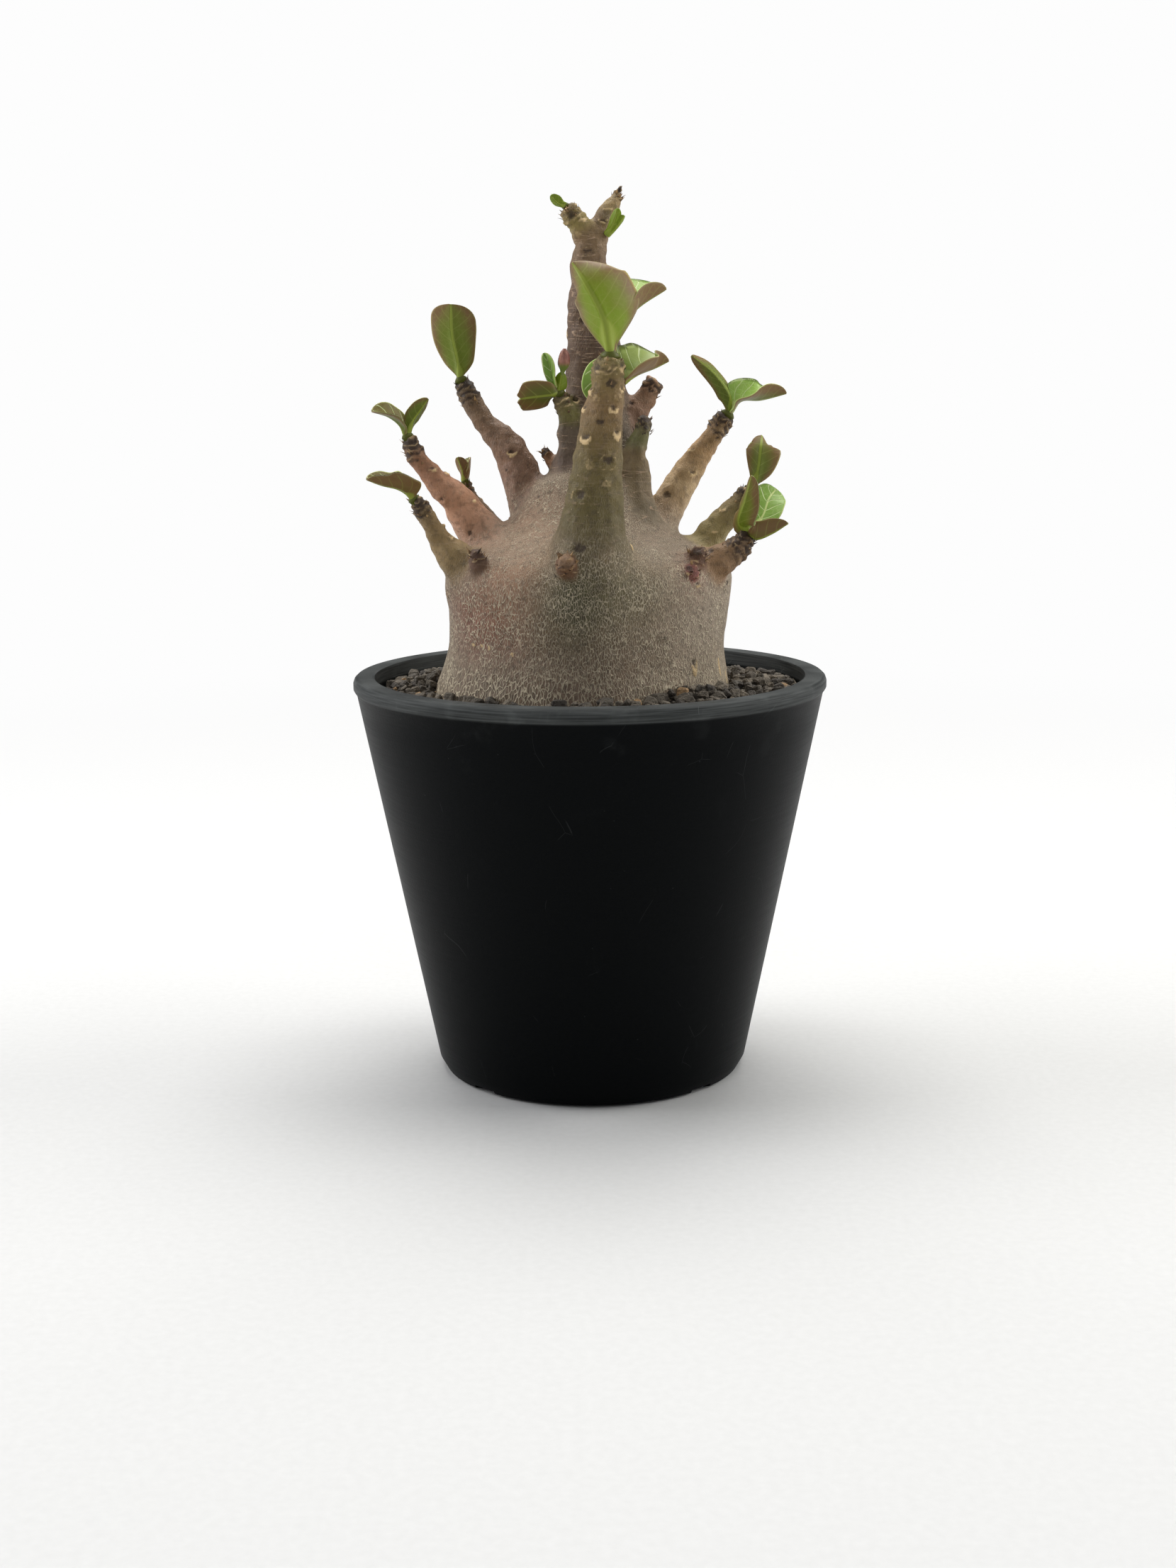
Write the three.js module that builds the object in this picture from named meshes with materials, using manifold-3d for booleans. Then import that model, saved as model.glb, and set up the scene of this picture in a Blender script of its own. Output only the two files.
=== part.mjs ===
// Potted desert rose (adenium): a swollen grey caudex with pruned branches and young leaves,
// standing in gravelly soil in a round black plastic pot.
// Millimetres, +Z up, origin at the centre of the pot's foot. The front of the plant faces -Y.

import * as THREE from 'three';
import { mergeVertices } from 'three/addons/utils/BufferGeometryUtils.js';
import Module from 'manifold-3d';

const wasm = await Module();
wasm.setup();

// ---- pot
const POT_HEIGHT = 103;
const RIM_RADIUS = 60;
const LIP_HEIGHT = 3.6;
const LIP_PROUD = 0.7; // how far the lip stands out from the wall below it
const RIM_INNER_RADIUS = 54.5;
const FOOT_RADIUS = 39.3; // outer wall carried down to the ground
const POT_WALL = 3.2;
const POT_FLOOR_TOP = 6;
const POT_RECESS = 2.5; // hollow under the floor, inside the foot ring
const FOOT_INNER_RADIUS = 33.5;
const POT_SEGMENTS = 40;
const DRAIN_RADIUS = 1.9;
const DRAIN_RINGS = [{ radius: 11, count: 3 }, { radius: 26, count: 6 }];
const FOOT_NOTCH = { width: 7, height: 1.5, count: 4 };

// ---- soil
const GAP = 0.3; // clearance between neighbouring pieces
const SOIL_AT_WALL = 96.4;
const SOIL_AT_CAUDEX = 99;
const SOIL_SLOPE = 14; // how far in from the pot's wall the soil rises
const SOIL_HEAPS = [
  { at: [26, -27], reach: 11, rise: 2.6 }, { at: [45, 2], reach: 14, rise: 1.8 },
  { at: [-41, 5], reach: 9, rise: 2.4 }, { at: [-3, -40], reach: 13, rise: 0.8 },
];
const PEBBLE_RINGS = [37.8, 44, 50.2]; // larger than life, so that few cover the bed
const PEBBLE_SIZE = [2.9, 3.6];
const PEBBLE_SPACING = 6.4;
const SOIL_SEED = 11;

// ---- caudex: [radius, height] of its outline, from the point of the tuber in the soil
const CAUDEX_X = -1;
const CAUDEX_LEAN = { shift: -1.5, from: 98, to: 120 }; // its foot stands further left than its shoulders
const CAUDEX_OUTLINE = [
  [0, 68], [14, 69.5], [24, 75], [31, 83], [35.5, 91], [37.2, 97], [36.6, 101], [35.2, 107],
  [34.6, 113], [35, 119], [35.8, 125], [35.6, 129], [33.8, 132.4], [30.6, 134.6], [26.4, 136.6],
  [22, 138.9], [17.8, 142.5], [14.2, 147.5], [11, 152], [0, 155],
];
const CAUDEX_SEGMENTS = 36;
const CAUDEX_LOBES = [{ waves: 3, height: 0.02, turn: 0.4 }, { waves: 5, height: 0.015, turn: 1.1 }];

// ---- branches: [x, y, z, radius] from a flared root inside the caudex to the tip
const BRANCHES = {
  front: [
    [-1, -14, 116, 15], [-0.8, -22, 126, 13.4], [0.2, -28, 134.5, 11], [0.8, -30, 142, 8],
    [1.5, -31, 151.5, 6.5], [2.4, -32, 160, 5.6], [3.3, -33, 168, 4.8], [4.6, -34, 175, 3.9],
    [5.2, -35, 181.5, 3.2],
  ],
  trunk: [
    [-1, 4, 128, 17], [0, 4, 138, 15], [2, 4.5, 147, 12.4], [2.8, 5, 155, 10.4],
    [2.6, 5, 163, 9], [2.1, 5, 172, 7.8], [1.7, 5, 180, 7], [1.5, 5, 188, 6.4],
    [0.8, 5, 193.4, 5.9], [0.5, 5, 195.4, 5.6], [0.2, 5, 198, 4.6], [0.3, 5, 203, 4.3],
    [0.8, 5, 207, 4], [1.3, 5, 211, 4.2],
  ],
  crownLeft: [[1, 5, 208.5, 3.6], [-1.2, 4, 212.7, 2.9], [-3.3, 3.5, 215.7, 2.6], [-4.9, 3, 217.9, 2]],
  crownRight: [
    [1.6, 5, 209, 3.4], [3.6, 6, 213.9, 2.7], [5.4, 6.5, 217, 2.4], [7, 7, 219.7, 1.6],
    [7.8, 7.6, 221.7, 0.9], [9, 8, 223.5, 0.4],
  ],
  trunkRight: [
    [3, 5, 157, 5.4], [7, 6, 162.6, 4.2], [11.6, 6, 167.9, 3.6], [15, 6, 172.5, 2.6], [17, 6, 175.9, 2.2],
  ],
  heel: [[5, -1, 130, 11], [10.6, -3, 142, 7.2], [11.4, -3, 149, 4.6], [11.8, -3, 156.6, 3.2]],
  heelShoot: [[11.8, -3, 155, 2.6], [12.3, -3, 160, 2.4], [13.7, -3, 164.4, 2.1], [14.4, -3, 167, 1.5]],
  stub: [[-3, 0, 148, 4.8], [-5, -1, 154, 3.6], [-5, -1, 159, 2.8], [-4.9, -1, 163.4, 2.9]],
  stubShoot: [[-4.9, -1, 162, 2.6], [-4.6, -1.4, 166, 2.5], [-5.5, -1.8, 169.6, 2.5], [-6.9, -2, 172.3, 2.1]],
  spur: [[-6, 2, 151, 2.4], [-8.6, 2, 155.4, 1.8], [-10.3, 2, 157.9, 1.5], [-11.7, 2, 159.3, 0.7]],
  upperLeft: [
    [-8, 2, 128, 10], [-12.8, 3.2, 138, 7.2], [-15, 4, 145.1, 5.5], [-17.6, 5, 153.8, 4.9],
    [-21.1, 6, 160.5, 4], [-25.9, 7, 165.5, 2.9], [-29.3, 8, 171, 2.5], [-31.7, 8, 175.8, 1.8],
  ],
  left: [
    [-13, -1, 122, 10], [-22, -3, 133.6, 7.2], [-28.1, -4, 140.3, 5.3], [-32.2, -5, 146.5, 4.3],
    [-38.2, -6, 152.6, 2.9], [-42.7, -7, 158.7, 2.4], [-44.3, -7, 162.4, 1.6],
  ],
  lowLeft: [
    [-21, -9, 120, 9.5], [-29, -13.5, 129.7, 6.2], [-33.5, -16, 134.7, 4.2], [-36.7, -17, 139.1, 2.7],
    [-39.5, -18, 144.3, 2.1], [-42.1, -19, 148, 1.6],
  ],
  smallLeft: [[-20, 8, 132, 3.6], [-25.6, 9.5, 142, 1.8], [-29.9, 10, 147.6, 1.1], [-31.3, 10, 150.6, 1.1]],
  upperRight: [
    [8, 8, 124, 9], [15.5, 10, 136, 6.6], [20, 12, 143.4, 5], [23.6, 12, 149.7, 4.3],
    [27.5, 12, 156, 3.4], [31.9, 12, 161.6, 2.5], [35.2, 12, 166.6, 2.2],
  ],
  right: [
    [15, 0, 120, 9.5], [23, -3, 129, 6.2], [28.3, -4, 134.3, 4.6], [31.4, -4, 139.4, 3.6],
    [35.5, -4, 143.6, 3], [39.8, -4, 148.6, 2],
  ],
  lowRight: [
    [19, -7, 121, 8.5], [26, -12, 127.5, 5.4], [29.9, -14, 131.4, 4.2], [34.4, -14, 133.8, 3.4],
    [37.6, -14, 136.2, 2.7], [39.4, -14, 138.8, 2],
  ],
  back: [
    [0, 12, 120, 13], [0.5, 22, 137, 8], [1, 28, 149, 5.6], [1.6, 32.5, 160, 4.2], [2, 36, 170, 2.8],
  ],
  backLeft: [[-9, 12, 120, 9], [-14.5, 21, 130, 5.4], [-18, 26.5, 136, 3.4]],
  backRight: [[9, 12, 120, 9], [14, 22, 129.5, 5], [17, 27.5, 134.6, 3]],
};

// dark dried buds close to the caudex, [x, y, z, radius] like the branches
const DRY_BUDS = {
  left: [
    [-24, -19, 127, 4.6], [-26.3, -22.6, 131.5, 2.6], [-27.2, -23.9, 134.2, 1.9], [-27.4, -24.4, 136.4, 1.2],
  ],
  front: [[-4.4, -33, 131, 4.2], [-5.2, -37.2, 133.6, 2.8], [-5.5, -39.4, 135.2, 2]],
  right: [[24, -17, 130, 3.8], [26, -19.6, 133.4, 2.3], [26.8, -20.8, 135.8, 1.7]],
  red: [[22, -20, 127.6, 3], [24.2, -22.6, 130.2, 1.9], [25, -23.8, 131.6, 1.3]],
};

// ---- crescent leaf scars and dry scales that ring the branches
const GOLDEN_TURN = Math.PI * (3 - Math.sqrt(5));
const BARK_SEED = 5;
const SCARS = {
  front: { from: 0.45, to: 0.86, count: 5 }, trunk: { from: 0.36, to: 0.85, count: 4 },
  upperLeft: { from: 0.36, to: 0.8, count: 3 }, left: { from: 0.4, to: 0.8, count: 3 },
  upperRight: { from: 0.34, to: 0.82, count: 3 }, right: { from: 0.4, to: 0.8, count: 2 },
  back: { from: 0.4, to: 0.8, count: 2 },
};
const SCALES = {
  front: 3, crownLeft: 3, crownRight: 2, trunkRight: 4, heelShoot: 4, stubShoot: 3, spur: 2, upperLeft: 5,
  left: 4, lowLeft: 4, upperRight: 5, right: 5, lowRight: 5, back: 4, backLeft: 3, backRight: 3,
};
const SCALE_LENGTH = [1, 1.8];

// ---- leaves
const LEAF_THICKNESS = 0.7;
const LEAF_COLUMNS = 4;
const LEAF_ROWS = 6;
const PETIOLE_HALF_WIDTH = 0.8;
const TIP_HALF_WIDTH = 0.4;
const END_ROUNDING = 0.3;
const PLAIN_LEAF = { left: 0.5, taper: 1, blunt: 2, end: 0, notch: [0, 0] };
const LEAF_WAVES = 2.5;

// One spray is the leaves at one branch tip, fused through its green tip bud. Each leaf gives its
// midrib from the bud out, its full width, where along it is widest, the way its upper side faces
// at the base and at the end, and how many degrees its left and right halves are folded up from the
// midrib, as seen from above with the tip ahead. left is the share of the width left of the midrib,
// taper above 1 narrows the base, blunt above 2 rounds the end more, end is the share of the width
// that a cut-off end keeps, and a notch in it has a depth and a place across.
const SPRAYS = {
  leaves_front: {
    branch: 'front', bud: [2.4, 2],
    leaves: [
      {
        rib: [[3.5, -38.2, 190.9], [-0.2, -38.9, 198], [-3.4, -35.8, 203.1]], width: 21.8, widest: 0.36,
        top: [[0.1, 0.93, 0.35], [0.7, 1.05, -0.1]], fold: [57, 41], left: 0.55,
      },
      {
        rib: [[7.4, -31.5, 188.5], [11.7, -28.1, 193.3], [18.5, -24.9, 197.4]], width: 15.6, widest: 0.64,
        top: [[-0.4, -0.8, 0.7], [-0.35, 0.1, 0.65]], fold: [46, 47], left: 0.66,
      },
    ],
  },
  leaves_trunk_left: {
    branch: 'stubShoot', bud: [1.7, 2],
    leaves: [
      {
        rib: [[-9.2, -3.7, 172.9], [-14.7, -4, 172.2], [-17.4, -5.1, 171.7]], width: 8.4, widest: 0.57,
        top: [[-0.1, 0.9, 0.5], [-0.1, 0.9, 0.3]], fold: [21, 22], left: 0.45, blunt: 2.6,
        end: 0.5, notch: [0.8, 0],
      },
      {
        rib: [[-8.4, -2.4, 175.8], [-9.2, -2.2, 179.3], [-10.8, -1.6, 182.8]], width: 4, widest: 0.66,
        top: [[-0.7, -0.6, 0.1], [-0.2, -0.9, 0.5]], fold: [40, 40],
      },
      {
        rib: [[-6.9, -2.7, 175], [-6.3, -2.7, 178.2]], width: 3.8, widest: 0.45,
        top: [[0, 1, 0], [0, 1, 0]], fold: [24, 24],
      },
    ],
  },
  leaf_upper_left: {
    branch: 'upperLeft', bud: [1.7, 1.8],
    leaves: [
      {
        rib: [[-32.4, 7.7, 180.5], [-33.8, 7.2, 187.9], [-33.9, 5.1, 194.9]], width: 12.3, widest: 0.78,
        top: [[0.1, 1, 0.1], [0.25, 0.96, 0.32]], fold: [14, 17], blunt: 2.3,
      },
    ],
  },
  leaves_left: {
    branch: 'left', bud: [1.5, 1.8],
    leaves: [
      {
        rib: [[-45.8, -8, 165.8], [-48.6, -9.6, 168], [-52.7, -11.6, 169.2]], width: 7, widest: 0.66,
        top: [[0.5, -0.3, 0.8], [0.2, -0.45, 0.95]], fold: [32, 32],
      },
      {
        rib: [[-43.5, -6.6, 166.7], [-41.8, -6.2, 169], [-39.4, -6, 172.1]], width: 5, widest: 0.58,
        top: [[-0.4, 0.9, 0.2], [-0.67, 0.7, 0.36]], fold: [22, 20],
      },
    ],
  },
  leaf_low_left: {
    branch: 'lowLeft', bud: [1.5, 1.6],
    leaves: [
      {
        rib: [[-43.8, -20.7, 150.2], [-45.9, -23.1, 151.5], [-49.3, -24.8, 152.3], [-52.8, -27.2, 153.6]],
        width: 9.8, widest: 0.38, top: [[0.63, 0.47, 0.6], [0.2, 0.07, 0.8]], fold: [41, 48],
      },
    ],
  },
  leaves_small_left: {
    branch: 'smallLeft', bud: [1.1, 1.4],
    leaves: [
      {
        rib: [[-31.9, 9.6, 153.6], [-33.2, 9, 157]], width: 3.6, widest: 0.7,
        top: [[0.4, 1, 0.2], [0.4, 1, 0.2]], fold: [24, 24],
      },
      {
        rib: [[-30.8, 11, 153.4], [-30.2, 12, 156.8]], width: 4.4, widest: 0.7,
        top: [[-0.8, -0.4, 0.3], [-0.8, -0.4, 0.4]], fold: [30, 30],
      },
    ],
  },
  leaves_upper_right: {
    branch: 'upperRight', bud: [1.9, 2],
    leaves: [
      {
        rib: [[35.7, 11.6, 171.7], [31.9, 10.3, 177.3], [26.2, 8.7, 181.9]], width: 6.2, widest: 0.42,
        top: [[-0.83, 0.62, 0.23], [-0.52, 0.8, -0.18]], fold: [32, 34], left: 0.57,
      },
      {
        rib: [[38.7, 11.2, 170.8], [43.8, 10.5, 171.1], [50.3, 10.4, 172.4]], width: 12.6, widest: 0.37,
        top: [[-0.64, -0.69, 0.43], [-0.06, 0.2, 0.58]], fold: [36, 37], left: 0.45, taper: 1.1,
      },
    ],
  },
  leaf_right: {
    branch: 'right', bud: [1.7, 1.8],
    leaves: [
      {
        rib: [[42, -5, 153.7], [42.7, -5, 159.3], [43.2, -2, 162.3]], width: 9.4, widest: 0.64,
        top: [[0.24, 1, 0.2], [0.05, 0.87, 0.44]], fold: [20, 30], left: 0.57, taper: 1.2, blunt: 2.8,
        end: 0.62, notch: [2.4, -0.5],
      },
    ],
  },
  leaves_low_right: {
    branch: 'lowRight', bud: [1.8, 1.6],
    leaves: [
      {
        rib: [[37, -16.3, 141.9], [38.1, -18.4, 147.1], [39.5, -19.7, 153.4]], width: 9.3, widest: 0.36,
        top: [[0.55, 0.55, -0.34], [0.92, 0.55, -0.3]], fold: [27, 25], left: 0.45, taper: 0.85, blunt: 2.6,
      },
      {
        rib: [[42.9, -11.5, 143.2], [44.6, -8.9, 147.2], [46.5, -6.6, 149.3]], width: 9, widest: 0.45,
        top: [[-0.34, -0.81, 0.42], [-0.06, -0.91, 0.17]], fold: [14, 8], blunt: 2.8,
      },
      {
        rib: [[41.1, -16.3, 138.3], [44.7, -17.4, 139.6], [48.4, -18.5, 141.8]], width: 8, widest: 0.4,
        top: [[-0.34, 0.54, 0.62], [-0.06, 0.52, 0.79]], fold: [55, 50],
      },
    ],
  },
  leaf_crown_left: {
    branch: 'crownLeft', bud: [1, 1.4],
    leaves: [
      {
        rib: [[-6.9, 2.6, 219.2], [-8.7, 2, 220.8]], width: 2.8, widest: 0.6,
        top: [[0.3, 1, 0.3], [0.3, 1, 0.3]], fold: [16, 16],
      },
    ],
  },
  leaves_back: {
    branch: 'back', bud: [2, 2],
    leaves: [
      {
        rib: [[2.6, 40, 175.4], [3, 45, 177.8], [3.4, 51.4, 178.6]], width: 8, widest: 0.64,
        top: [[0, -0.5, 0.9], [0, 0, 1]], fold: [26, 26],
      },
      {
        rib: [[0.6, 39.6, 172.6], [-0.6, 43.6, 171.4], [-1.4, 48.6, 167.6]], width: 6.4, widest: 0.62,
        top: [[0, 0.2, 1], [0, 0.7, 0.7]], fold: [22, 22],
      },
    ],
  },
};

// leaves that spring from the side of a branch, each a piece of its own
const SIDE_LEAVES = {
  leaf_front_right: {
    rib: [[8.3, -31.9, 176.2], [11.5, -31.6, 178.1], [15.4, -29, 179.4], [19, -28.5, 180.8]], width: 14.6,
    widest: 0.38, top: [[-0.34, -0.63, 0.88], [0.27, 0.28, 0.63]], fold: [40, 41], left: 0.58, taper: 0.7,
  },
  leaf_front_left: {
    rib: [[4.3, -29.4, 180], [3.4, -27.8, 179.2], [2.4, -26.6, 175.4], [2.6, -26.8, 171]], width: 8,
    widest: 0.6, top: [[-0.3, -0.5, 0.8], [-0.2, -1, 0.1]], fold: [16, 16],
  },
};
const CROWN_RIGHT_LEAVES = [
  {
    rib: [[5, 2.8, 211.4], [6.6, 1.4, 213.8], [7.8, 0.4, 217.4]], width: 3, widest: 0.6,
    top: [[0.2, 1, 0.2], [0.2, 1, 0.2]], fold: [26, 26],
  },
  {
    rib: [[5, 2.8, 211.4], [7.3, 1.6, 213.4], [9.2, 1, 215.8]], width: 2.6, widest: 0.6,
    top: [[-0.6, 0.8, 0.2], [-0.6, 0.8, 0.2]], fold: [26, 26],
  },
];
const FLOWER_BUD = [
  [-6.1, -2.4, 178.8, 0.9], [-6, -2.4, 179.8, 1.4], [-5.8, -2.3, 181.4, 1.45], [-5.7, -2.2, 183, 1],
  [-5.6, -2.2, 183.9, 0.35],
];

// ---- materials
const barkMaterial = new THREE.MeshStandardMaterial({ color: 0x7f7061, roughness: 0.75, metalness: 0 });
const leafMaterial = new THREE.MeshStandardMaterial({ color: 0x5d7a33, roughness: 0.45, metalness: 0 });
const flowerMaterial = new THREE.MeshStandardMaterial({ color: 0x96565a, roughness: 0.5, metalness: 0 });
const soilMaterial = new THREE.MeshStandardMaterial({ color: 0x3f3831, roughness: 0.95, metalness: 0 });
const potMaterial = new THREE.MeshStandardMaterial({ color: 0x23282a, roughness: 0.5, metalness: 0 });

const rig = new THREE.Group();

function addPiece(name, geometry, material) {
  const mesh = new THREE.Mesh(geometry, material);
  mesh.name = name;
  rig.add(mesh);
}

// mulberry32: the same run of numbers from 0 to 1 for the same seed
function makeRandom(seed) {
  let state = seed;
  return () => {
    state = (state + 0x6d2b79f5) | 0;
    let t = Math.imul(state ^ (state >>> 15), 1 | state);
    t = (t + Math.imul(t ^ (t >>> 7), 61 | t)) ^ t;
    return ((t ^ (t >>> 14)) >>> 0) / 4294967296;
  };
}

const vector = ([x, y, z]) => new THREE.Vector3(x, y, z);
const { lerp, degToRad, clamp, smoothstep } = THREE.MathUtils;

// ---- solids

function toSolid(geometry) {
  const bare = geometry.clone();
  bare.deleteAttribute('normal');
  bare.deleteAttribute('uv');
  const merged = mergeVertices(bare, 1e-4);
  const corners = merged.index.array;
  const kept = [];
  for (let i = 0; i < corners.length; i += 3) {
    const [a, b, c] = corners.slice(i, i + 3);
    if (a !== b && b !== c && c !== a) kept.push(a, b, c);
  }
  return new wasm.Manifold(new wasm.Mesh({
    numProp: 3,
    vertProperties: new Float32Array(merged.attributes.position.array),
    triVerts: new Uint32Array(kept),
  }));
}

function toGeometry(solid) {
  const { vertProperties, triVerts } = solid.getMesh();
  const geometry = new THREE.BufferGeometry();
  geometry.setAttribute('position', new THREE.BufferAttribute(vertProperties, 3));
  geometry.setIndex(new THREE.BufferAttribute(triVerts, 1));
  geometry.computeVertexNormals();
  return geometry;
}

function fuse(geometries) {
  return geometries.map(toSolid).reduce((whole, piece) => whole.add(piece));
}

// the largest body, without crumbs that a cut may leave
function mainBody(solid) {
  return solid.decompose().sort((a, b) => b.volume() - a.volume())[0];
}

// a solid of revolution about Z from [radius, height] points
function turned(outline, segments) {
  const points = outline.map(([radius, height]) => new THREE.Vector2(radius, height));
  return new THREE.LatheGeometry(points, segments).rotateX(Math.PI / 2);
}

function deform(geometry, place) {
  const position = geometry.attributes.position;
  const point = new THREE.Vector3();
  for (let i = 0; i < position.count; i++) {
    point.fromBufferAttribute(position, i);
    place(point);
    position.setXYZ(i, point.x, point.y, point.z);
  }
  return geometry;
}

// ---- pot

const outerWall = (height) => {
  const topRadius = RIM_RADIUS - LIP_PROUD;
  return lerp(FOOT_RADIUS, topRadius, height / (POT_HEIGHT - LIP_HEIGHT));
};
const innerWall = (height) => Math.min(outerWall(height) - POT_WALL, RIM_INNER_RADIUS);

function potGeometry() {
  const lipBottom = POT_HEIGHT - LIP_HEIGHT;
  const outline = [
    [0, POT_RECESS], [FOOT_INNER_RADIUS - 1, POT_RECESS], [FOOT_INNER_RADIUS, 0], [FOOT_RADIUS - 3, 0],
    [FOOT_RADIUS - 0.9, 0.7], [outerWall(3.6), 3.6], [outerWall(lipBottom - 0.3), lipBottom - 0.3],
    [RIM_RADIUS - 0.15, lipBottom + 0.2], [RIM_RADIUS, lipBottom + 0.8], [RIM_RADIUS, POT_HEIGHT - 0.9],
    [RIM_RADIUS - 0.7, POT_HEIGHT], [RIM_INNER_RADIUS + 0.6, POT_HEIGHT],
    [RIM_INNER_RADIUS, POT_HEIGHT - 0.6], [RIM_INNER_RADIUS, 91], [innerWall(9.5), 9.5],
    [innerWall(POT_FLOOR_TOP) - 2.5, POT_FLOOR_TOP], [0, POT_FLOOR_TOP],
  ];
  let pot = toSolid(turned(outline, POT_SEGMENTS));
  for (const { radius, count } of DRAIN_RINGS) {
    for (let i = 0; i < count; i++) {
      const angle = ((i + 0.5) / count) * Math.PI * 2;
      const hole = new THREE.CylinderGeometry(DRAIN_RADIUS, DRAIN_RADIUS, 2 * POT_FLOOR_TOP, 6);
      hole.rotateX(Math.PI / 2).translate(radius * Math.cos(angle), radius * Math.sin(angle), POT_FLOOR_TOP);
      pot = pot.subtract(toSolid(hole));
    }
  }
  for (let i = 0; i < FOOT_NOTCH.count; i++) {
    const notch = new THREE.BoxGeometry(12, FOOT_NOTCH.width, 2 * FOOT_NOTCH.height);
    notch.translate(FOOT_RADIUS - 3, 0, 0).rotateZ(((i + 0.5) / FOOT_NOTCH.count) * Math.PI * 2);
    pot = pot.subtract(toSolid(notch));
  }
  return toGeometry(pot);
}

// ---- caudex

// grow > 0 gives the plain hole that the tuber stands in
function caudexGeometry(grow = 0) {
  const outline = CAUDEX_OUTLINE.map(([radius, height]) => [radius > 0 ? radius + grow : 0, height - grow]);
  return deform(turned(outline, CAUDEX_SEGMENTS), (point) => {
    const angle = Math.atan2(point.y, point.x);
    let scale = 1;
    for (const { waves, height, turn } of CAUDEX_LOBES) scale += height * Math.cos(waves * angle + turn);
    const lean = 1 - smoothstep(point.z, CAUDEX_LEAN.from, CAUDEX_LEAN.to);
    point.x = point.x * scale + CAUDEX_X + CAUDEX_LEAN.shift * lean;
    point.y *= scale;
  });
}

// ---- branches

// The smooth centre line and girth of a branch, with cross directions that don't twist.
function branchPath(stations, rings) {
  const path = new THREE.CatmullRomCurve3(stations.map(vector));
  const girth = new THREE.SplineCurve(stations.map((station, i) => new THREE.Vector2(i, station[3])));
  const frames = [];
  const across = new THREE.Vector3(1, 0, 0);
  for (let i = 0; i <= rings; i++) {
    const t = i / rings;
    const along = path.getTangent(t);
    across.addScaledVector(along, -across.dot(along)).normalize();
    frames.push({
      centre: path.getPoint(t), along, across: across.clone(),
      beside: new THREE.Vector3().crossVectors(along, across), radius: girth.getPoint(t).y,
    });
  }
  return frames;
}

function branchGeometry(stations, { sides = 8, rings = Math.ceil(1.5 * (stations.length - 1)) } = {}) {
  const frames = branchPath(stations, rings);
  return deform(new THREE.CylinderGeometry(1, 1, 1, sides, rings), (point) => {
    const { centre, across, beside, radius } = frames[Math.round((point.y + 0.5) * rings)];
    const reach = Math.hypot(point.x, point.z) * radius;
    const angle = Math.atan2(-point.z, point.x);
    point.copy(centre);
    point.addScaledVector(across, reach * Math.cos(angle)).addScaledVector(beside, reach * Math.sin(angle));
  });
}

// a place on a branch's surface, with the directions out of it and along the branch
function onBranch(stations, at, turn) {
  const steps = 60;
  const { centre, along, across, beside, radius } = branchPath(stations, steps)[Math.round(at * steps)];
  const out = across.clone().multiplyScalar(Math.cos(turn)).addScaledVector(beside, Math.sin(turn));
  return { point: centre.clone().addScaledVector(out, radius), centre, out, along, radius };
}

// a low crescent lying across the branch
function scarGeometry(stations, at, turn) {
  const { point, out, along, radius } = onBranch(stations, at, turn);
  const beside = new THREE.Vector3().crossVectors(along, out);
  const width = clamp(radius * 0.34, 0.9, 2.2);
  const turnTo = new THREE.Matrix4().makeBasis(beside, along, out);
  const scar = new THREE.IcosahedronGeometry(1, 0).scale(width, width * 0.55, 0.55);
  return scar.applyMatrix4(turnTo).translate(point.x, point.y, point.z);
}

// a dry scale: a slim three-sided spike that leans out and up from the bark
function scaleGeometry(stations, at, turn, length) {
  const { point, out, along } = onBranch(stations, at, turn);
  const axis = out.clone().addScaledVector(along, 0.9).normalize();
  const spike = new THREE.ConeGeometry(0.8, length + 1, 3).translate(0, length / 2 - 0.5, 0);
  spike.applyQuaternion(new THREE.Quaternion().setFromUnitVectors(new THREE.Vector3(0, 1, 0), axis));
  return spike.translate(point.x, point.y, point.z);
}

function plantGeometry() {
  const random = makeRandom(BARK_SEED);
  const pieces = [caudexGeometry()];
  for (const stations of [...Object.values(BRANCHES), ...Object.values(DRY_BUDS)]) {
    pieces.push(branchGeometry(stations));
  }
  for (const [name, { from, to, count }] of Object.entries(SCARS)) {
    for (let i = 0; i < count; i++) {
      const at = lerp(from, to, (i + 0.4 * random()) / (count - 1));
      pieces.push(scarGeometry(BRANCHES[name], Math.min(at, 0.95), i * GOLDEN_TURN + random()));
    }
  }
  for (const [name, count] of Object.entries(SCALES)) {
    for (let i = 0; i < count; i++) {
      const at = lerp(0.8, 0.97, (i + random()) / count);
      pieces.push(scaleGeometry(BRANCHES[name], at, i * GOLDEN_TURN + random(), lerp(...SCALE_LENGTH, random())));
    }
  }
  return toGeometry(mainBody(fuse(pieces)));
}

// ---- leaves

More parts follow.
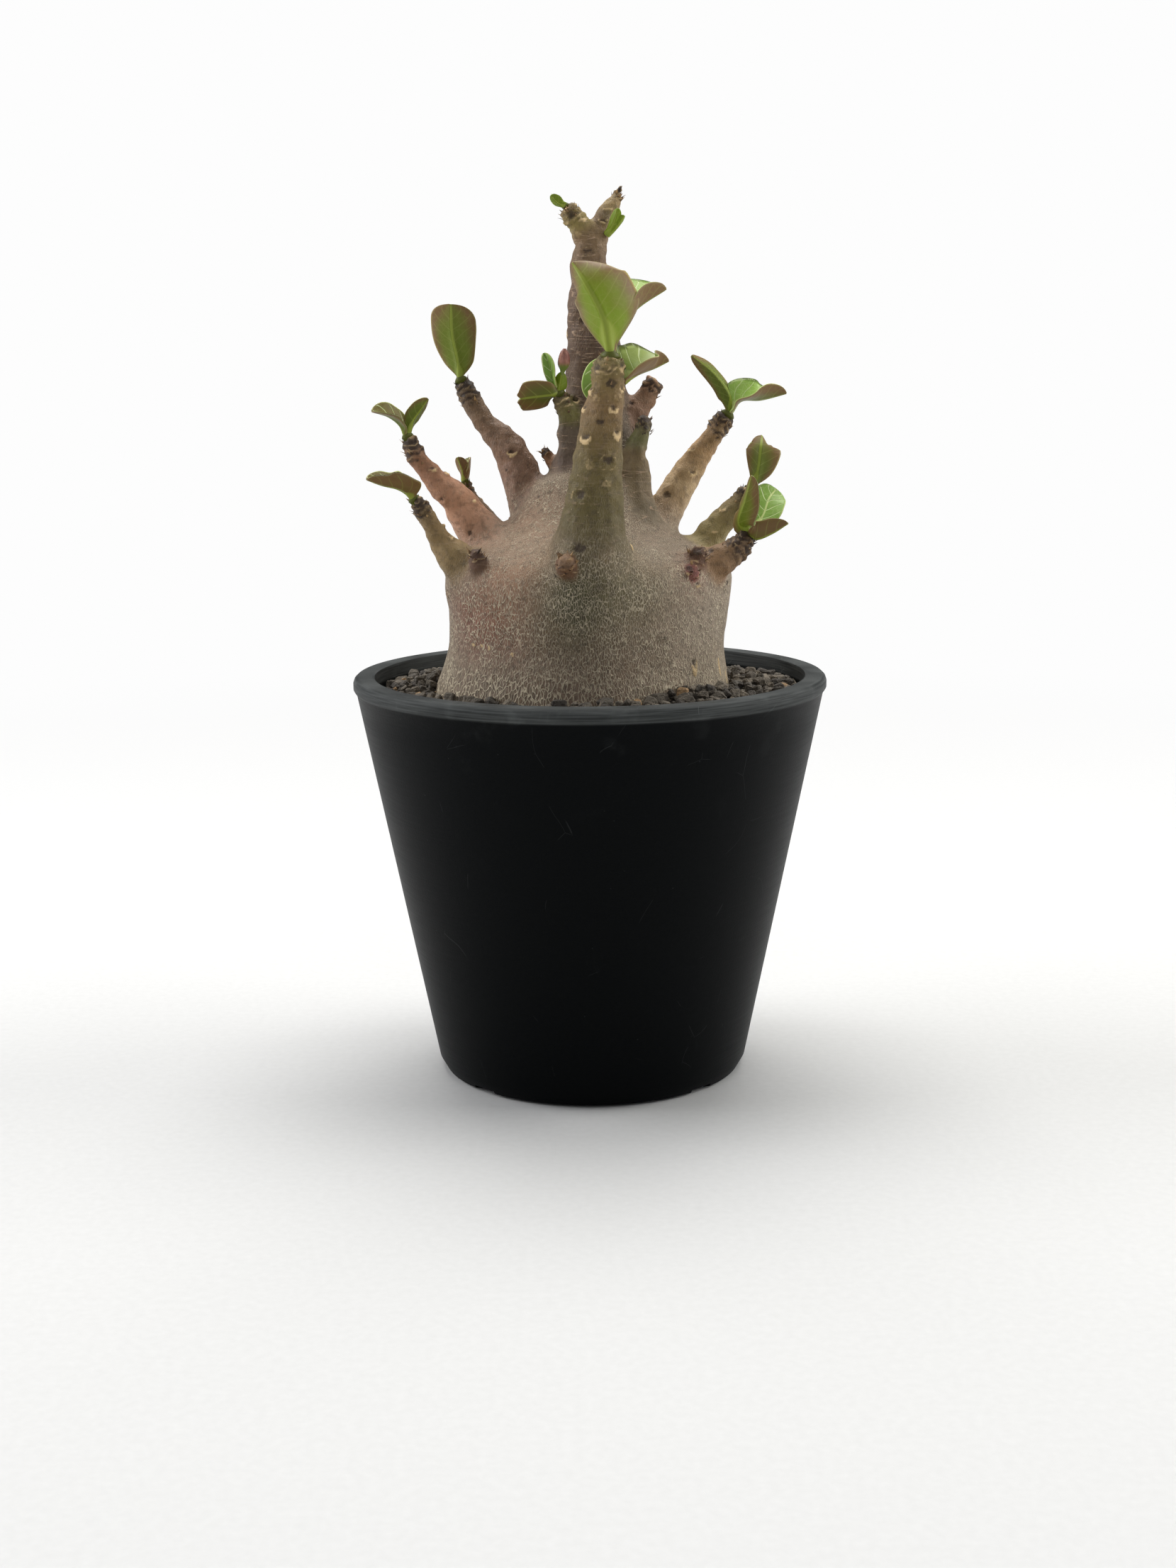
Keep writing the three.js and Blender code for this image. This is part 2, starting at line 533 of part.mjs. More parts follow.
// A closed blade: the sheet's points moved half the thickness to both sides, with the same
// triangles above and below, and a rim between them.
function thicken(sheet, columns, rows, thickness) {
  sheet.computeVertexNormals();
  const { position, normal } = sheet.attributes;
  const count = position.count;
  const points = new Float32Array(6 * count);
  for (let i = 0; i < count; i++) {
    for (const [side, start] of [[1, 0], [-1, count]]) {
      const step = (side * thickness) / 2;
      points[3 * (start + i)] = position.getX(i) + step * normal.getX(i);
      points[3 * (start + i) + 1] = position.getY(i) + step * normal.getY(i);
      points[3 * (start + i) + 2] = position.getZ(i) + step * normal.getZ(i);
    }
  }
  const faces = [];
  const corners = sheet.index.array;
  for (let i = 0; i < corners.length; i += 3) {
    const [a, b, c] = corners.slice(i, i + 3);
    faces.push(a, b, c, a + count, c + count, b + count);
  }
  const wide = columns + 1;
  const edge = [];
  for (let i = 0; i < columns; i++) edge.push(i);
  for (let i = 0; i < rows; i++) edge.push(columns + i * wide);
  for (let i = columns; i > 0; i--) edge.push(rows * wide + i);
  for (let i = rows; i > 0; i--) edge.push(i * wide);
  edge.forEach((a, i) => {
    const b = edge[(i + 1) % edge.length];
    faces.push(a, b, a + count, b, b + count, a + count);
  });
  const blade = new THREE.BufferGeometry();
  blade.setAttribute('position', new THREE.BufferAttribute(points, 3));
  blade.setIndex(faces);
  return blade;
}

function leafGeometry({ rib, width, widest, top, fold, ...form }) {
  const { left, taper, blunt, end, notch: [notchDepth, notchPlace] } = { ...PLAIN_LEAF, ...form };
  const path = new THREE.CatmullRomCurve3(rib.map(vector));
  const [topAtBase, topAtEnd] = top.map(vector);
  const outline = (s) => {
    if (s < widest) return Math.sin((Math.PI / 2) * (s / widest)) ** taper;
    return Math.max(Math.sqrt(Math.max(1 - ((s - widest) / (1 - widest)) ** blunt, 0)), end);
  };
  const sheet = new THREE.PlaneGeometry(2, 1, LEAF_COLUMNS, LEAF_ROWS);
  deform(sheet, (point) => {
    const across = point.x;
    const s = 1 - (1 - clamp(point.y + 0.5, 0, 1)) ** 1.5;
    const along = path.getTangent(s);
    const up = topAtBase.clone().lerp(topAtEnd, s);
    up.addScaledVector(along, -up.dot(along)).normalize();
    const side = new THREE.Vector3().crossVectors(along, up);
    const breadth = width * (across < 0 ? left : 1 - left) * outline(s);
    const reach = across * Math.max(breadth, s > 0.5 ? TIP_HALF_WIDTH : PETIOLE_HALF_WIDTH);
    const rise = degToRad(fold[across < 0 ? 0 : 1] * (0.7 + 0.3 * Math.abs(across)));
    const wave = 0.04 * breadth * Math.sin(LEAF_WAVES * 2 * Math.PI * s + 2 * across) * across ** 2;
    point.copy(path.getPoint(s));
    point.addScaledVector(side, reach * Math.cos(rise));
    point.addScaledVector(up, Math.abs(reach) * Math.sin(rise) + wave);
    const corner = END_ROUNDING * end * width * Math.abs(across) ** 3;
    const dip = corner + notchDepth * Math.max(1 - 2 * Math.abs(across - notchPlace), 0);
    point.addScaledVector(along, -dip * clamp(4 * s - 3, 0, 1));
  });
  return thicken(sheet, LEAF_COLUMNS, LEAF_ROWS, LEAF_THICKNESS);
}

function sprayGeometry({ branch, bud: [radius, length], leaves }) {
  const { centre, along } = onBranch(BRANCHES[branch], 1, 0);
  const stations = [GAP, length * 0.5, length].map((step, i) => {
    const point = centre.clone().addScaledVector(along, step);
    return [point.x, point.y, point.z, radius * [1, 0.85, 0.4][i]];
  });
  const heart = centre.clone().addScaledVector(along, length * 0.45).toArray();
  const blades = leaves.map((leaf) => leafGeometry({ ...leaf, rib: [heart, ...leaf.rib] }));
  const bud = branchGeometry(stations, { sides: 6, rings: 2 });
  return toGeometry(fuse([bud, ...blades]));
}

// ---- soil

function soilHeight(x, y) {
  const slope = clamp((RIM_INNER_RADIUS - Math.hypot(x, y)) / SOIL_SLOPE, 0, 1);
  let height = lerp(SOIL_AT_WALL, SOIL_AT_CAUDEX, slope);
  for (const { at, reach, rise } of SOIL_HEAPS) {
    height += rise * Math.exp(-(((x - at[0]) ** 2 + (y - at[1]) ** 2) / reach ** 2));
  }
  return height;
}

function soilGeometry() {
  const random = makeRandom(SOIL_SEED);
  const bottom = POT_FLOOR_TOP + GAP;
  const wallAt = (height) => innerWall(height) - GAP;
  const outline = [
    [0, bottom], [wallAt(POT_FLOOR_TOP) - 2.8, bottom], [wallAt(9.5), 9.8], [wallAt(91), 91],
    [wallAt(91), SOIL_AT_WALL], [47, SOIL_AT_WALL], [40, SOIL_AT_WALL], [30, SOIL_AT_WALL], [0, SOIL_AT_WALL],
  ];
  const bed = deform(turned(outline, POT_SEGMENTS), (point) => {
    if (point.z === Math.fround(SOIL_AT_WALL)) point.z = soilHeight(point.x, point.y);
  });
  const pebbles = [];
  for (const ring of PEBBLE_RINGS) {
    const count = Math.floor((2 * Math.PI * ring) / PEBBLE_SPACING);
    for (let i = 0; i < count; i++) {
      const radius = ring + lerp(-1, 1, random());
      const angle = ((i + 0.4 * random()) / count) * 2 * Math.PI;
      const size = lerp(...PEBBLE_SIZE, random());
      const pebble = new THREE.OctahedronGeometry(size, 0).rotateX(0.5 * Math.PI * random());
      pebble.scale(1, 0.9, lerp(0.55, 0.7, random())).rotateZ(2 * Math.PI * random());
      const [x, y] = [radius * Math.cos(angle), radius * Math.sin(angle)];
      pebbles.push(pebble.translate(x, y, soilHeight(x, y) + lerp(-0.5, 0.3, random())));
    }
  }
  const inside = new THREE.CylinderGeometry(RIM_INNER_RADIUS - GAP, RIM_INNER_RADIUS - GAP, 40, POT_SEGMENTS);
  inside.rotateX(Math.PI / 2).rotateZ(Math.PI / 2).translate(0, 0, POT_HEIGHT);
  const cover = fuse(pebbles).intersect(toSolid(inside));
  const soil = toSolid(bed).add(cover).subtract(toSolid(caudexGeometry(GAP + 0.1)));
  return toGeometry(mainBody(soil));
}

// ---- the assembly

addPiece('pot', potGeometry(), potMaterial);
addPiece('soil', soilGeometry(), soilMaterial);
addPiece('plant', plantGeometry(), barkMaterial);
for (const [name, spray] of Object.entries(SPRAYS)) addPiece(name, sprayGeometry(spray), leafMaterial);
for (const [name, leaf] of Object.entries(SIDE_LEAVES)) addPiece(name, leafGeometry(leaf), leafMaterial);
addPiece('leaves_crown_right', toGeometry(fuse(CROWN_RIGHT_LEAVES.map(leafGeometry))), leafMaterial);
addPiece('flower_bud', branchGeometry(FLOWER_BUD, { sides: 8, rings: 6 }), flowerMaterial);

export default rig;
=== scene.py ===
import math
import random

import bmesh
import bpy
import numpy as np
from mathutils import Matrix, Vector, noise


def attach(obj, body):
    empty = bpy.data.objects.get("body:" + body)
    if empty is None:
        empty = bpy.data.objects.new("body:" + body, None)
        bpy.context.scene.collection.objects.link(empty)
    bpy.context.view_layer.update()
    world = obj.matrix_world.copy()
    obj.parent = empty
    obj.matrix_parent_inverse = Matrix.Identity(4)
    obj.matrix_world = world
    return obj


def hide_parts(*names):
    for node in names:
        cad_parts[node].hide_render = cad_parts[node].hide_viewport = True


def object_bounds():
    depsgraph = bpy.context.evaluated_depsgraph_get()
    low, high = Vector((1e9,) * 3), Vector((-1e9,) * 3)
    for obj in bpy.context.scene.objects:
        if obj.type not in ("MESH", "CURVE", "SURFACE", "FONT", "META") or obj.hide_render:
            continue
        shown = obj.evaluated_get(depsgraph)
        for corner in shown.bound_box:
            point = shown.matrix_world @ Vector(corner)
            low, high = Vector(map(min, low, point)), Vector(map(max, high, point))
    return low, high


# A desert rose in a black plastic pot. Sizes are in millimetres in the dictionaries and metres in the scene.
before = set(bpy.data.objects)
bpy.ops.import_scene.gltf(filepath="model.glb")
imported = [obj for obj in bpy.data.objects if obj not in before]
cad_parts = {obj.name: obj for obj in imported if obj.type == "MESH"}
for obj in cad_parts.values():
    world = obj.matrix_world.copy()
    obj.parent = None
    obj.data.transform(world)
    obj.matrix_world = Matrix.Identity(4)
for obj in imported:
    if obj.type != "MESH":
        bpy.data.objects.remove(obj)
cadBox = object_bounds()
mm = 0.001


# camera, at the angle of the photograph
camera = {"place": (-0.67, -550.35, 182.82), "lookDown": 11.194, "roll": -0.421, "lens": 50.03, "sensor": 36}


def setCamera():
    data = bpy.data.cameras.new("camera")
    data.lens = camera["lens"]
    data.sensor_width = camera["sensor"]
    view = bpy.data.objects.new("camera", data)
    turn = Matrix.Rotation(math.radians(90 - camera["lookDown"]), 4, "X")
    roll = Matrix.Rotation(math.radians(camera["roll"]), 4, "Z")
    view.matrix_world = Matrix.Translation(Vector(camera["place"]) * mm) @ turn @ roll
    bpy.context.scene.collection.objects.link(view)
    bpy.context.scene.camera = view


setCamera()
print("camera set")


# materials


def tint(red, green, blue):  # a colour picked on screen, as the shaders want it
    def linear(value):
        value /= 255
        return value / 12.92 if value < 0.04045 else ((value + 0.055) / 1.055) ** 2.4

    return (linear(red), linear(green), linear(blue), 1)


def tinted(look):  # a look with its colours made ready for the shaders
    return {name: tint(*value) if isinstance(value, tuple) else value for name, value in look.items()}


class Value:  # the output of a node, to be reckoned with like a number
    def __init__(self, paint, socket):
        self.paint = paint
        self.socket = socket

    def calc(self, operation, *values):
        return self.paint.node("ShaderNodeMath", {"operation": operation}, dict(enumerate(values)))

    def __add__(self, other):
        return self.calc("ADD", self, other)

    def __sub__(self, other):
        return self.calc("SUBTRACT", self, other)

    def __rsub__(self, other):
        return self.calc("SUBTRACT", other, self)

    def __mul__(self, other):
        return self.calc("MULTIPLY", self, other)

    def __truediv__(self, other):
        return self.calc("DIVIDE", self, other)

    def __rtruediv__(self, other):
        return self.calc("DIVIDE", other, self)

    def __pow__(self, other):
        return self.calc("POWER", self, other)

    def __rpow__(self, other):
        return self.calc("POWER", other, self)

    def __abs__(self):
        return self.calc("ABSOLUTE", self)

    __radd__ = __add__
    __rmul__ = __mul__

    def larger(self, other):
        return self.calc("MAXIMUM", self, other)

    def fract(self):
        return self.calc("FRACT", self)

    def fade(self, low, high, start=0.0, end=1.0):  # a smooth step from start to end
        sockets = {"Value": self, "From Min": low, "From Max": high, "To Min": start, "To Max": end}
        return self.paint.node("ShaderNodeMapRange", {"interpolation_type": "SMOOTHSTEP"}, sockets)

    def ebb(self, low, high):  # one up to low and nothing from high on, which draws lines and spots
        return self.fade(low, high, 1.0, 0.0)


class Paint:  # one material with its nodes
    def __init__(self, name):
        self.material = bpy.data.materials.new(name)
        self.material.use_nodes = True
        self.tree = self.material.node_tree
        self.shader = self.tree.nodes["Principled BSDF"]

    def feed(self, socket, value):
        if isinstance(value, Value):
            self.tree.links.new(value.socket, socket)
        else:
            socket.default_value = value

    def node(self, kind, settings, sockets, output=0):
        made = self.tree.nodes.new(kind)
        for name, value in settings.items():
            if name == "stops":
                while len(made.color_ramp.elements) < len(value):
                    made.color_ramp.elements.new(0.5)
                for stop, (place, colour) in zip(made.color_ramp.elements, value):
                    stop.position = place
                    stop.color = colour
            else:
                setattr(made, name, value)
        for name, value in sockets.items():
            self.feed(made.inputs[name], value)
        return Value(self, made.outputs[output])

    def places(self):
        return self.node("ShaderNodeTexCoord", {}, {}, "Object")

    def part(self, vector, axis):
        return self.node("ShaderNodeSeparateXYZ", {}, {0: vector}, axis)

    def attribute(self, name, output="Fac"):
        return self.node("ShaderNodeAttribute", {"attribute_name": name}, {}, output)

    def scaled(self, places, scale):
        return self.node("ShaderNodeMapping", {}, {"Vector": places, "Scale": scale})

    def noise(self, places, size, detail=2.0, output=0):  # size in millimetres
        sockets = {"Vector": places, "Scale": 1 / (size * mm), "Detail": detail}
        return self.node("ShaderNodeTexNoise", {}, sockets, output)

    def cells(self, places, size, feature="DISTANCE_TO_EDGE"):
        sockets = {"Vector": places, "Scale": 1 / (size * mm)}
        return self.node("ShaderNodeTexVoronoi", {"feature": feature}, sockets)

    def warped(self, places, size, reach):  # places pushed about by a noise
        push = self.noise(places, size, 1.0, "Color")
        moved = {0: push, 1: (reach * mm,) * 3, 2: places}
        return self.node("ShaderNodeVectorMath", {"operation": "MULTIPLY_ADD"}, moved)

    def mix(self, first, second, amount):
        sockets = {0: amount, 6: first, 7: second}
        return self.node("ShaderNodeMix", {"data_type": "RGBA"}, sockets, 2)

    def ramp(self, value, stops):  # stops are places with colours picked on screen
        stops = [(place, tint(*colour)) for place, colour in stops]
        return self.node("ShaderNodeValToRGB", {"stops": stops}, {"Fac": value})

    def set(self, **sockets):
        for name, value in sockets.items():
            self.feed(self.shader.inputs[name.replace("_", " ")], value)

    def relief(self, height, depth):  # depth in millimetres
        self.set(Normal=self.node("ShaderNodeBump", {}, {"Height": height, "Distance": depth * mm}))

    def glow(self, colour):
        return self.node("ShaderNodeEmission", {}, {"Color": colour})

    def show(self, value):  # puts this out in place of the plain shader
        self.feed(self.tree.nodes["Material Output"].inputs["Surface"], value)


# bark: a pale net over brown skin, with the marks that the plant's own layers give
skinLayers = ("net", "coarse", "pale", "dark", "ringed")
barkLook = {
    "netCell": 0.47, "footCell": 0.8, "thread": 0.45, "mottle": 1.3, "cloud": 8, "freckleGap": 2.1,
    "hoopGap": 2,
    "line": (194, 180, 154), "grime": (52, 42, 34), "sunned": (146, 116, 88), "freckle": (176, 156, 116),
    "hoop": (180, 152, 124), "scar": (206, 178, 132), "dry": (46, 32, 22), "shine": 0.3, "relief": 0.3,
}


def barkMaterial():
    paint = Paint("bark")
    look = tinted(barkLook)
    places = paint.places()
    skin = paint.attribute("skin", "Color")
    net, coarse, pale, dark, ringed = (paint.attribute(name) for name in skinLayers)
    drawn = paint.scaled(paint.warped(places, 1.9, 1.1), (1, 1, 0.3))  # the meshes run up and down
    fine = paint.cells(drawn, look["netCell"]).ebb(0.02, 0.17)
    wide = paint.cells(drawn, look["footCell"]).ebb(0.03, 0.16)
    threads = abs(paint.noise(drawn, look["thread"], 1.0) - 0.5).ebb(0.0, 0.05)
    lines = fine * (1 - coarse) + wide * coarse * 1.7 + threads * 0.25
    patchy = paint.noise(places, 7, 2.0).fade(0.3, 0.65, 0.6, 1.0)
    netted = lines * net * patchy
    mottle = paint.noise(places, look["mottle"], 4.0)
    cloud = paint.noise(places, look["cloud"], 3.0)
    grimy = mottle.fade(0.42, 0.72, 0.0, 0.5) * (net * 0.35 + 0.65)
    ground = paint.mix(skin, look["grime"], grimy)
    ground = paint.mix(ground, look["sunned"], cloud.fade(0.5, 0.78, 0.0, 0.22))
    lined = paint.mix(ground, look["line"], netted.fade(0.05, 1.3, 0.0, 0.9))
    freckles = paint.cells(places, look["freckleGap"], "F1").ebb(0.06, 0.12) * (1 - net) * 0.45
    lined = paint.mix(lined, look["freckle"], freckles)
    hoops = abs(paint.noise(paint.scaled(places, (0.1, 0.1, 1)), look["hoopGap"], 1.0) - 0.5).ebb(0.0, 0.022)
    lined = paint.mix(lined, look["hoop"], hoops * ringed * mottle.fade(0.38, 0.6) * 0.65)
    ragged = paint.noise(places, 0.8, 3.0) * 0.5 - 0.25  # breaks up the rims of the marks
    scarred = paint.mix(lined, look["scar"], (pale + ragged).fade(0.25, 0.75, 0.0, 0.9))
    colour = paint.mix(scarred, look["dry"], (dark + ragged).fade(0.2, 0.8, 0.0, 0.9))
    paint.set(Base_Color=colour, Roughness=netted * 0.1 + mottle * 0.2 + 0.46)
    paint.set(Specular_IOR_Level=look["shine"])
    paint.relief(netted * 0.8 + mottle * 0.8 + cloud + paint.noise(places, 0.4, 1.0) * 0.3, look["relief"])
    return paint.material


# leaf: green above with pale veins, olive below with a brown flush, both drawn along the blade
leafLayers = ("under", "blush", "bright", "ranks")
leafLook = {
    "green": (142, 172, 78), "paleGreen": (170, 194, 110), "deepGreen": (104, 136, 54), "old": (112, 98, 54),
    "vein": (206, 216, 160), "rib": (200, 208, 140), "olive": (84, 88, 34), "fresh": (112, 132, 24),
    "flush": (114, 88, 54), "lowVein": (146, 148, 76), "lowRib": (138, 150, 58),
    "lowMargin": (164, 150, 100), "shine": 0.22, "relief": 0.18,
}


def leafMaterial():
    paint = Paint("leaf")
    look = tinted(leafLook)
    spread = paint.node("ShaderNodeUVMap", {"uv_map": "leafMap"}, {})
    across = paint.part(spread, "X")
    along = paint.part(spread, "Y")
    under, blush, bright, ranks = (paint.attribute(name) for name in leafLayers)
    places = paint.places()
    drift = paint.noise(places, 5, 2.0) - 0.5
    side = abs(across * 2 - 1)
    rib = (side / along.fade(0.0, 0.35, 0.6, 0.06)).ebb(0.6, 1.3)
    rank = (along - side * 0.17 - side * side * 0.05) * ranks + drift * 0.4  # side veins lean to the tip
    veins = abs(rank.fract() - 0.5).ebb(0.0, 0.09) * side.ebb(0.78, 0.97)
    netting = paint.cells(paint.warped(places, 2, 0.8), 1.5).ebb(0.0, 0.1) * ranks.fade(4, 8)
    margin = side.fade(0.93, 0.99)
    greenUp = paint.mix(look["green"], look["paleGreen"], paint.noise(places, 4, 2.0))
    greenUp = paint.mix(greenUp, look["deepGreen"], bright.fade(0.42, 0.55, 0.0, 0.65))
    greenUp = paint.mix(look["old"], greenUp, bright.fade(0.2, 0.38))
    upper = paint.mix(greenUp, look["vein"], (veins * 0.8).larger(netting * 0.25))
    upper = paint.mix(upper, look["rib"], (rib * 0.85).larger(margin * 0.6))
    # painted light: the yellow-green that bright brings to the underside stands for light shining through
    # the blade
    greenDown = paint.mix(look["olive"], look["fresh"], bright)
    edges = along**3 * 0.55 + side**2 * 0.7
    flushed = (blush * 1.5 + edges + drift * 0.5 - 0.8).fade(0.12, 0.75)
    lower = paint.mix(greenDown, look["flush"], flushed)
    lower = paint.mix(lower, look["lowVein"], (veins * 0.35).larger(netting * 0.14))
    lower = paint.mix(lower, look["lowRib"], rib * 0.75)
    lower = paint.mix(lower, look["lowMargin"], margin * 0.5)
    paint.set(Base_Color=paint.mix(upper, lower, under), Roughness=under * 0.12 + 0.36)
    paint.set(Specular_IOR_Level=look["shine"], Subsurface_Weight=0.1, Subsurface_Scale=0.0012)
    paint.set(Subsurface_Radius=(0.6, 1.0, 0.25))
    paint.relief(1 - (veins * 0.5 + netting * 0.15) * (1 - under) - rib * 0.4 + drift * 0.8, look["relief"])
    return paint.material


flowerLook = {"petal": (128, 80, 70), "palePetal": (166, 116, 98), "calyx": (112, 128, 58), "relief": 0.15}


def flowerMaterial():
    paint = Paint("flowerBud")
    look = tinted(flowerLook)
    places = paint.places()
    green = paint.part(places, "Z").ebb(179.2 * mm, 180.6 * mm)  # the calyx below the petals
    streak = paint.noise(paint.scaled(places, (1, 1, 0.2)), 0.5, 2.0)
    petals = paint.mix(look["petal"], look["palePetal"], streak.fade(0.35, 0.65))
    paint.set(Base_Color=paint.mix(petals, look["calyx"], green), Roughness=streak * 0.2 + 0.35)
    paint.relief(streak, look["relief"])
    return paint.material


scaleLook = {"stops": [(0.36, (48, 34, 24)), (0.48, (92, 66, 44)), (0.62, (164, 132, 88))], "relief": 0.1}


def scaleMaterial():
    paint = Paint("dryScale")
    places = paint.places()
    tone = paint.noise(places, 2.2, 3.0)
    fine = paint.noise(places, 0.3, 2.0)
    paint.set(Base_Color=paint.ramp(tone, scaleLook["stops"]), Roughness=fine * 0.2 + 0.6)
    paint.relief(fine, scaleLook["relief"])
    return paint.material


soilLook = {
    "stops": [
        (0.0, (52, 46, 40)), (0.45, (78, 71, 61)), (0.8, (104, 95, 82)), (0.95, (124, 113, 96)),
        (1.0, (150, 120, 84)),
    ],
    "damp": (36, 33, 30), "dusty": (124, 117, 106), "relief": 0.5,
}


def soilMaterial():
    paint = Paint("soil")
    look = tinted(soilLook)
    places = paint.places()
    speck = paint.noise(places, 0.5, 4.0)
    blotch = paint.noise(places, 2.4, 2.0)
    grain = paint.ramp(paint.attribute("tone"), look["stops"])
    colour = paint.mix(grain, look["damp"], speck.fade(0.45, 0.7, 0.0, 0.5))
    colour = paint.mix(colour, look["dusty"], blotch.fade(0.55, 0.75, 0.0, 0.25))
    paint.set(Base_Color=colour, Roughness=speck * 0.2 + 0.75)
    paint.relief(speck + blotch, look["relief"])
    return paint.material


plasticLook = {"plastic": (5, 7, 8), "dust": (108, 111, 110), "shine": 0.05, "relief": 0.06}


def potMaterial():
    paint = Paint("blackPlastic")
    look = tinted(plasticLook)
    places = paint.places()
    height = paint.part(places, "Z")
    underLip = pot["height"] - pot["lip"]
    lip = height.fade((underLip - 0.6) * mm, (underLip + 0.4) * mm)
    rings = paint.noise(paint.scaled(places, (0.03, 0.03, 1)), 0.4, 3.0)  # turning marks round the pot
    wipes = paint.noise(paint.scaled(paint.warped(places, 30, 16), (1, 1, 0.3)), 1.6, 3.0).fade(0.52, 0.75)
    worn = paint.noise(places, 26, 2.0).fade(0.5, 0.75) * wipes
    smudge = paint.noise(paint.warped(places, 18, 14), 9, 4.0).fade(0.56, 0.74)
    smudge = smudge * height.fade(60 * mm, 100 * mm)
    scratch = paint.cells(paint.warped(places, 20, 12), 24).ebb(0.0, 0.005)
    scratch = scratch * paint.noise(places, 8, 1.0).fade(0.55, 0.6)
    speck = paint.cells(places, 5, "F1").ebb(0.02, 0.045)
    # dust, wipes, specks and scratches, plus painted light: the whole lip is painted lighter grey as if lit
    # from above
    dusty = worn * 0.12 + smudge * 0.14 + speck * 0.25 + scratch * 0.25 + lip * (rings * 0.7 + 0.15)
    colour = paint.mix(look["plastic"], look["dust"], dusty.fade(0.0, 1.4))
    paint.set(Base_Color=colour, Roughness=dusty * 0.14 + rings * 0.1 + 0.4)
    paint.set(Specular_IOR_Level=look["shine"])
    paint.relief(rings * (lip * 0.8 + 0.2) + paint.noise(places, 0.5, 2.0) * 0.4, look["relief"])
    return paint.material


# shared ways of making pieces


def linkMesh(name, mesh, material=None, smooth=True):
    if material:
        mesh.materials.append(material)
    if smooth:
        mesh.shade_smooth()
    else:
        mesh.shade_flat()
    piece = bpy.data.objects.new(name, mesh)
    bpy.context.scene.collection.objects.link(piece)
    return piece


def makeObject(name, bm, material=None, smooth=True):
    mesh = bpy.data.meshes.new(name)
    bm.to_mesh(mesh)
    bm.free()
    return linkMesh(name, mesh, material, smooth)


def bakedMesh(piece):  # the piece's mesh with its modifiers applied
    bpy.context.view_layer.update()
    return bpy.data.meshes.new_from_object(piece.evaluated_get(bpy.context.evaluated_depsgraph_get()))


def finishPiece(piece, slot, *nodes):  # nodes are the solids that the piece stands for
    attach(piece, "root")
    if nodes:
        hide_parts(*nodes)
    piece.data.calc_loop_triangles()
    print(piece.name, "has", len(piece.data.loop_triangles), "triangles")
    return piece


def turnOutline(outline, steps, longest=None):  # outline as radius and height; longer edges are cut up
    bm = bmesh.new()
    verts = [bm.verts.new((radius, 0, height)) for radius, height in outline]
    edges = [bm.edges.new(pair) for pair in zip(verts, verts[1:])]
    if longest:
        long = [edge for edge in edges if edge.calc_length() > longest]
        bmesh.ops.subdivide_edges(bm, edges=long, cuts=14)
    shape = bm.verts[:] + bm.edges[:]
    bmesh.ops.spin(bm, geom=shape, axis=(0, 0, 1), angle=math.tau, steps=steps, use_merge=True)
    bmesh.ops.remove_doubles(bm, verts=bm.verts[:], dist=1e-6)
    bmesh.ops.recalc_face_normals(bm, faces=bm.faces[:])
    return bm


def pathAt(points, t):  # place and direction on a smooth line through the points, from 0 to 1
    last = len(points) - 1
    i = min(int(t * last), last - 1)
    b, c = points[i], points[i + 1]
    a = points[i - 1] if i else 2 * b - c
    d = points[i + 2] if i + 2 <= last else 2 * c - b
    ab, bc, cd = (math.sqrt(math.dist(*pair)) for pair in ((a, b), (b, c), (c, d)))
    leave = ((b - a) / ab - (c - a) / (ab + bc) + (c - b) / bc) * bc
    arrive = ((c - b) / bc - (d - b) / (bc + cd) + (d - c) / cd) * bc
    square = 3 * (c - b) - 2 * leave - arrive
    cube = 2 * (b - c) + leave + arrive
    u = t * last - i
    slope = leave + u * (2 * square + 3 * u * cube)
    return b + u * (leave + u * (square + u * cube)), slope / np.linalg.norm(slope)


def girthAt(radii, t):
    last = len(radii) - 1
    i = min(int(t * last), last - 1)
    a, b, c, d = (radii[min(max(k, 0), last)] for k in range(i - 1, i + 3))
    leave, arrive = (c - a) / 2, (d - b) / 2
    u = t * last - i
    return b + u * (leave + u * (3 * (c - b) - 2 * leave - arrive + u * (2 * (b - c) + leave + arrive)))


def unit(vector):
    return vector / np.linalg.norm(vector)


ringParts = ("centre", "along", "across", "beside", "radius")


def walkBranch(stations, count):  # rings along a branch, whose cross directions don't twist
    points = [np.array(station[:3]) * mm for station in stations]
    radii = [station[3] * mm for station in stations]
    across = np.array((1.0, 0.0, 0.0))
    rings = []
    for t in np.linspace(0, 1, count):
        centre, along = pathAt(points, t)
        across = unit(across - along * (across @ along))
        rings.append((centre, along, across, np.cross(along, across), girthAt(radii, t)))
    walk = {name: np.array(column) for name, column in zip(ringParts, zip(*rings))}
    steps = np.linalg.norm(np.diff(walk["centre"], axis=0), axis=1)
    walk["run"] = np.concatenate(([0], np.cumsum(steps)))
    return walk


def growTube(bm, walk, sides):
    frames = []
    for centre, along, across, beside, radius in zip(*(walk[name] for name in ringParts)):
        turn = Matrix((across * radius, beside * radius, along * radius)).transposed().to_4x4()
        frames.append(Matrix.Translation(centre) @ turn)
    ring = bmesh.ops.create_circle(bm, cap_ends=True, segments=sides, radius=1, matrix=frames[0])["verts"]
    face = ring[0].link_faces[0]
    for before, after in zip(frames, frames[1:]):
        made = bmesh.ops.extrude_face_region(bm, geom=[face])["geom"]
        face = next(part for part in made if isinstance(part, bmesh.types.BMFace))
        bmesh.ops.transform(bm, matrix=after @ before.inverted(), verts=face.verts)


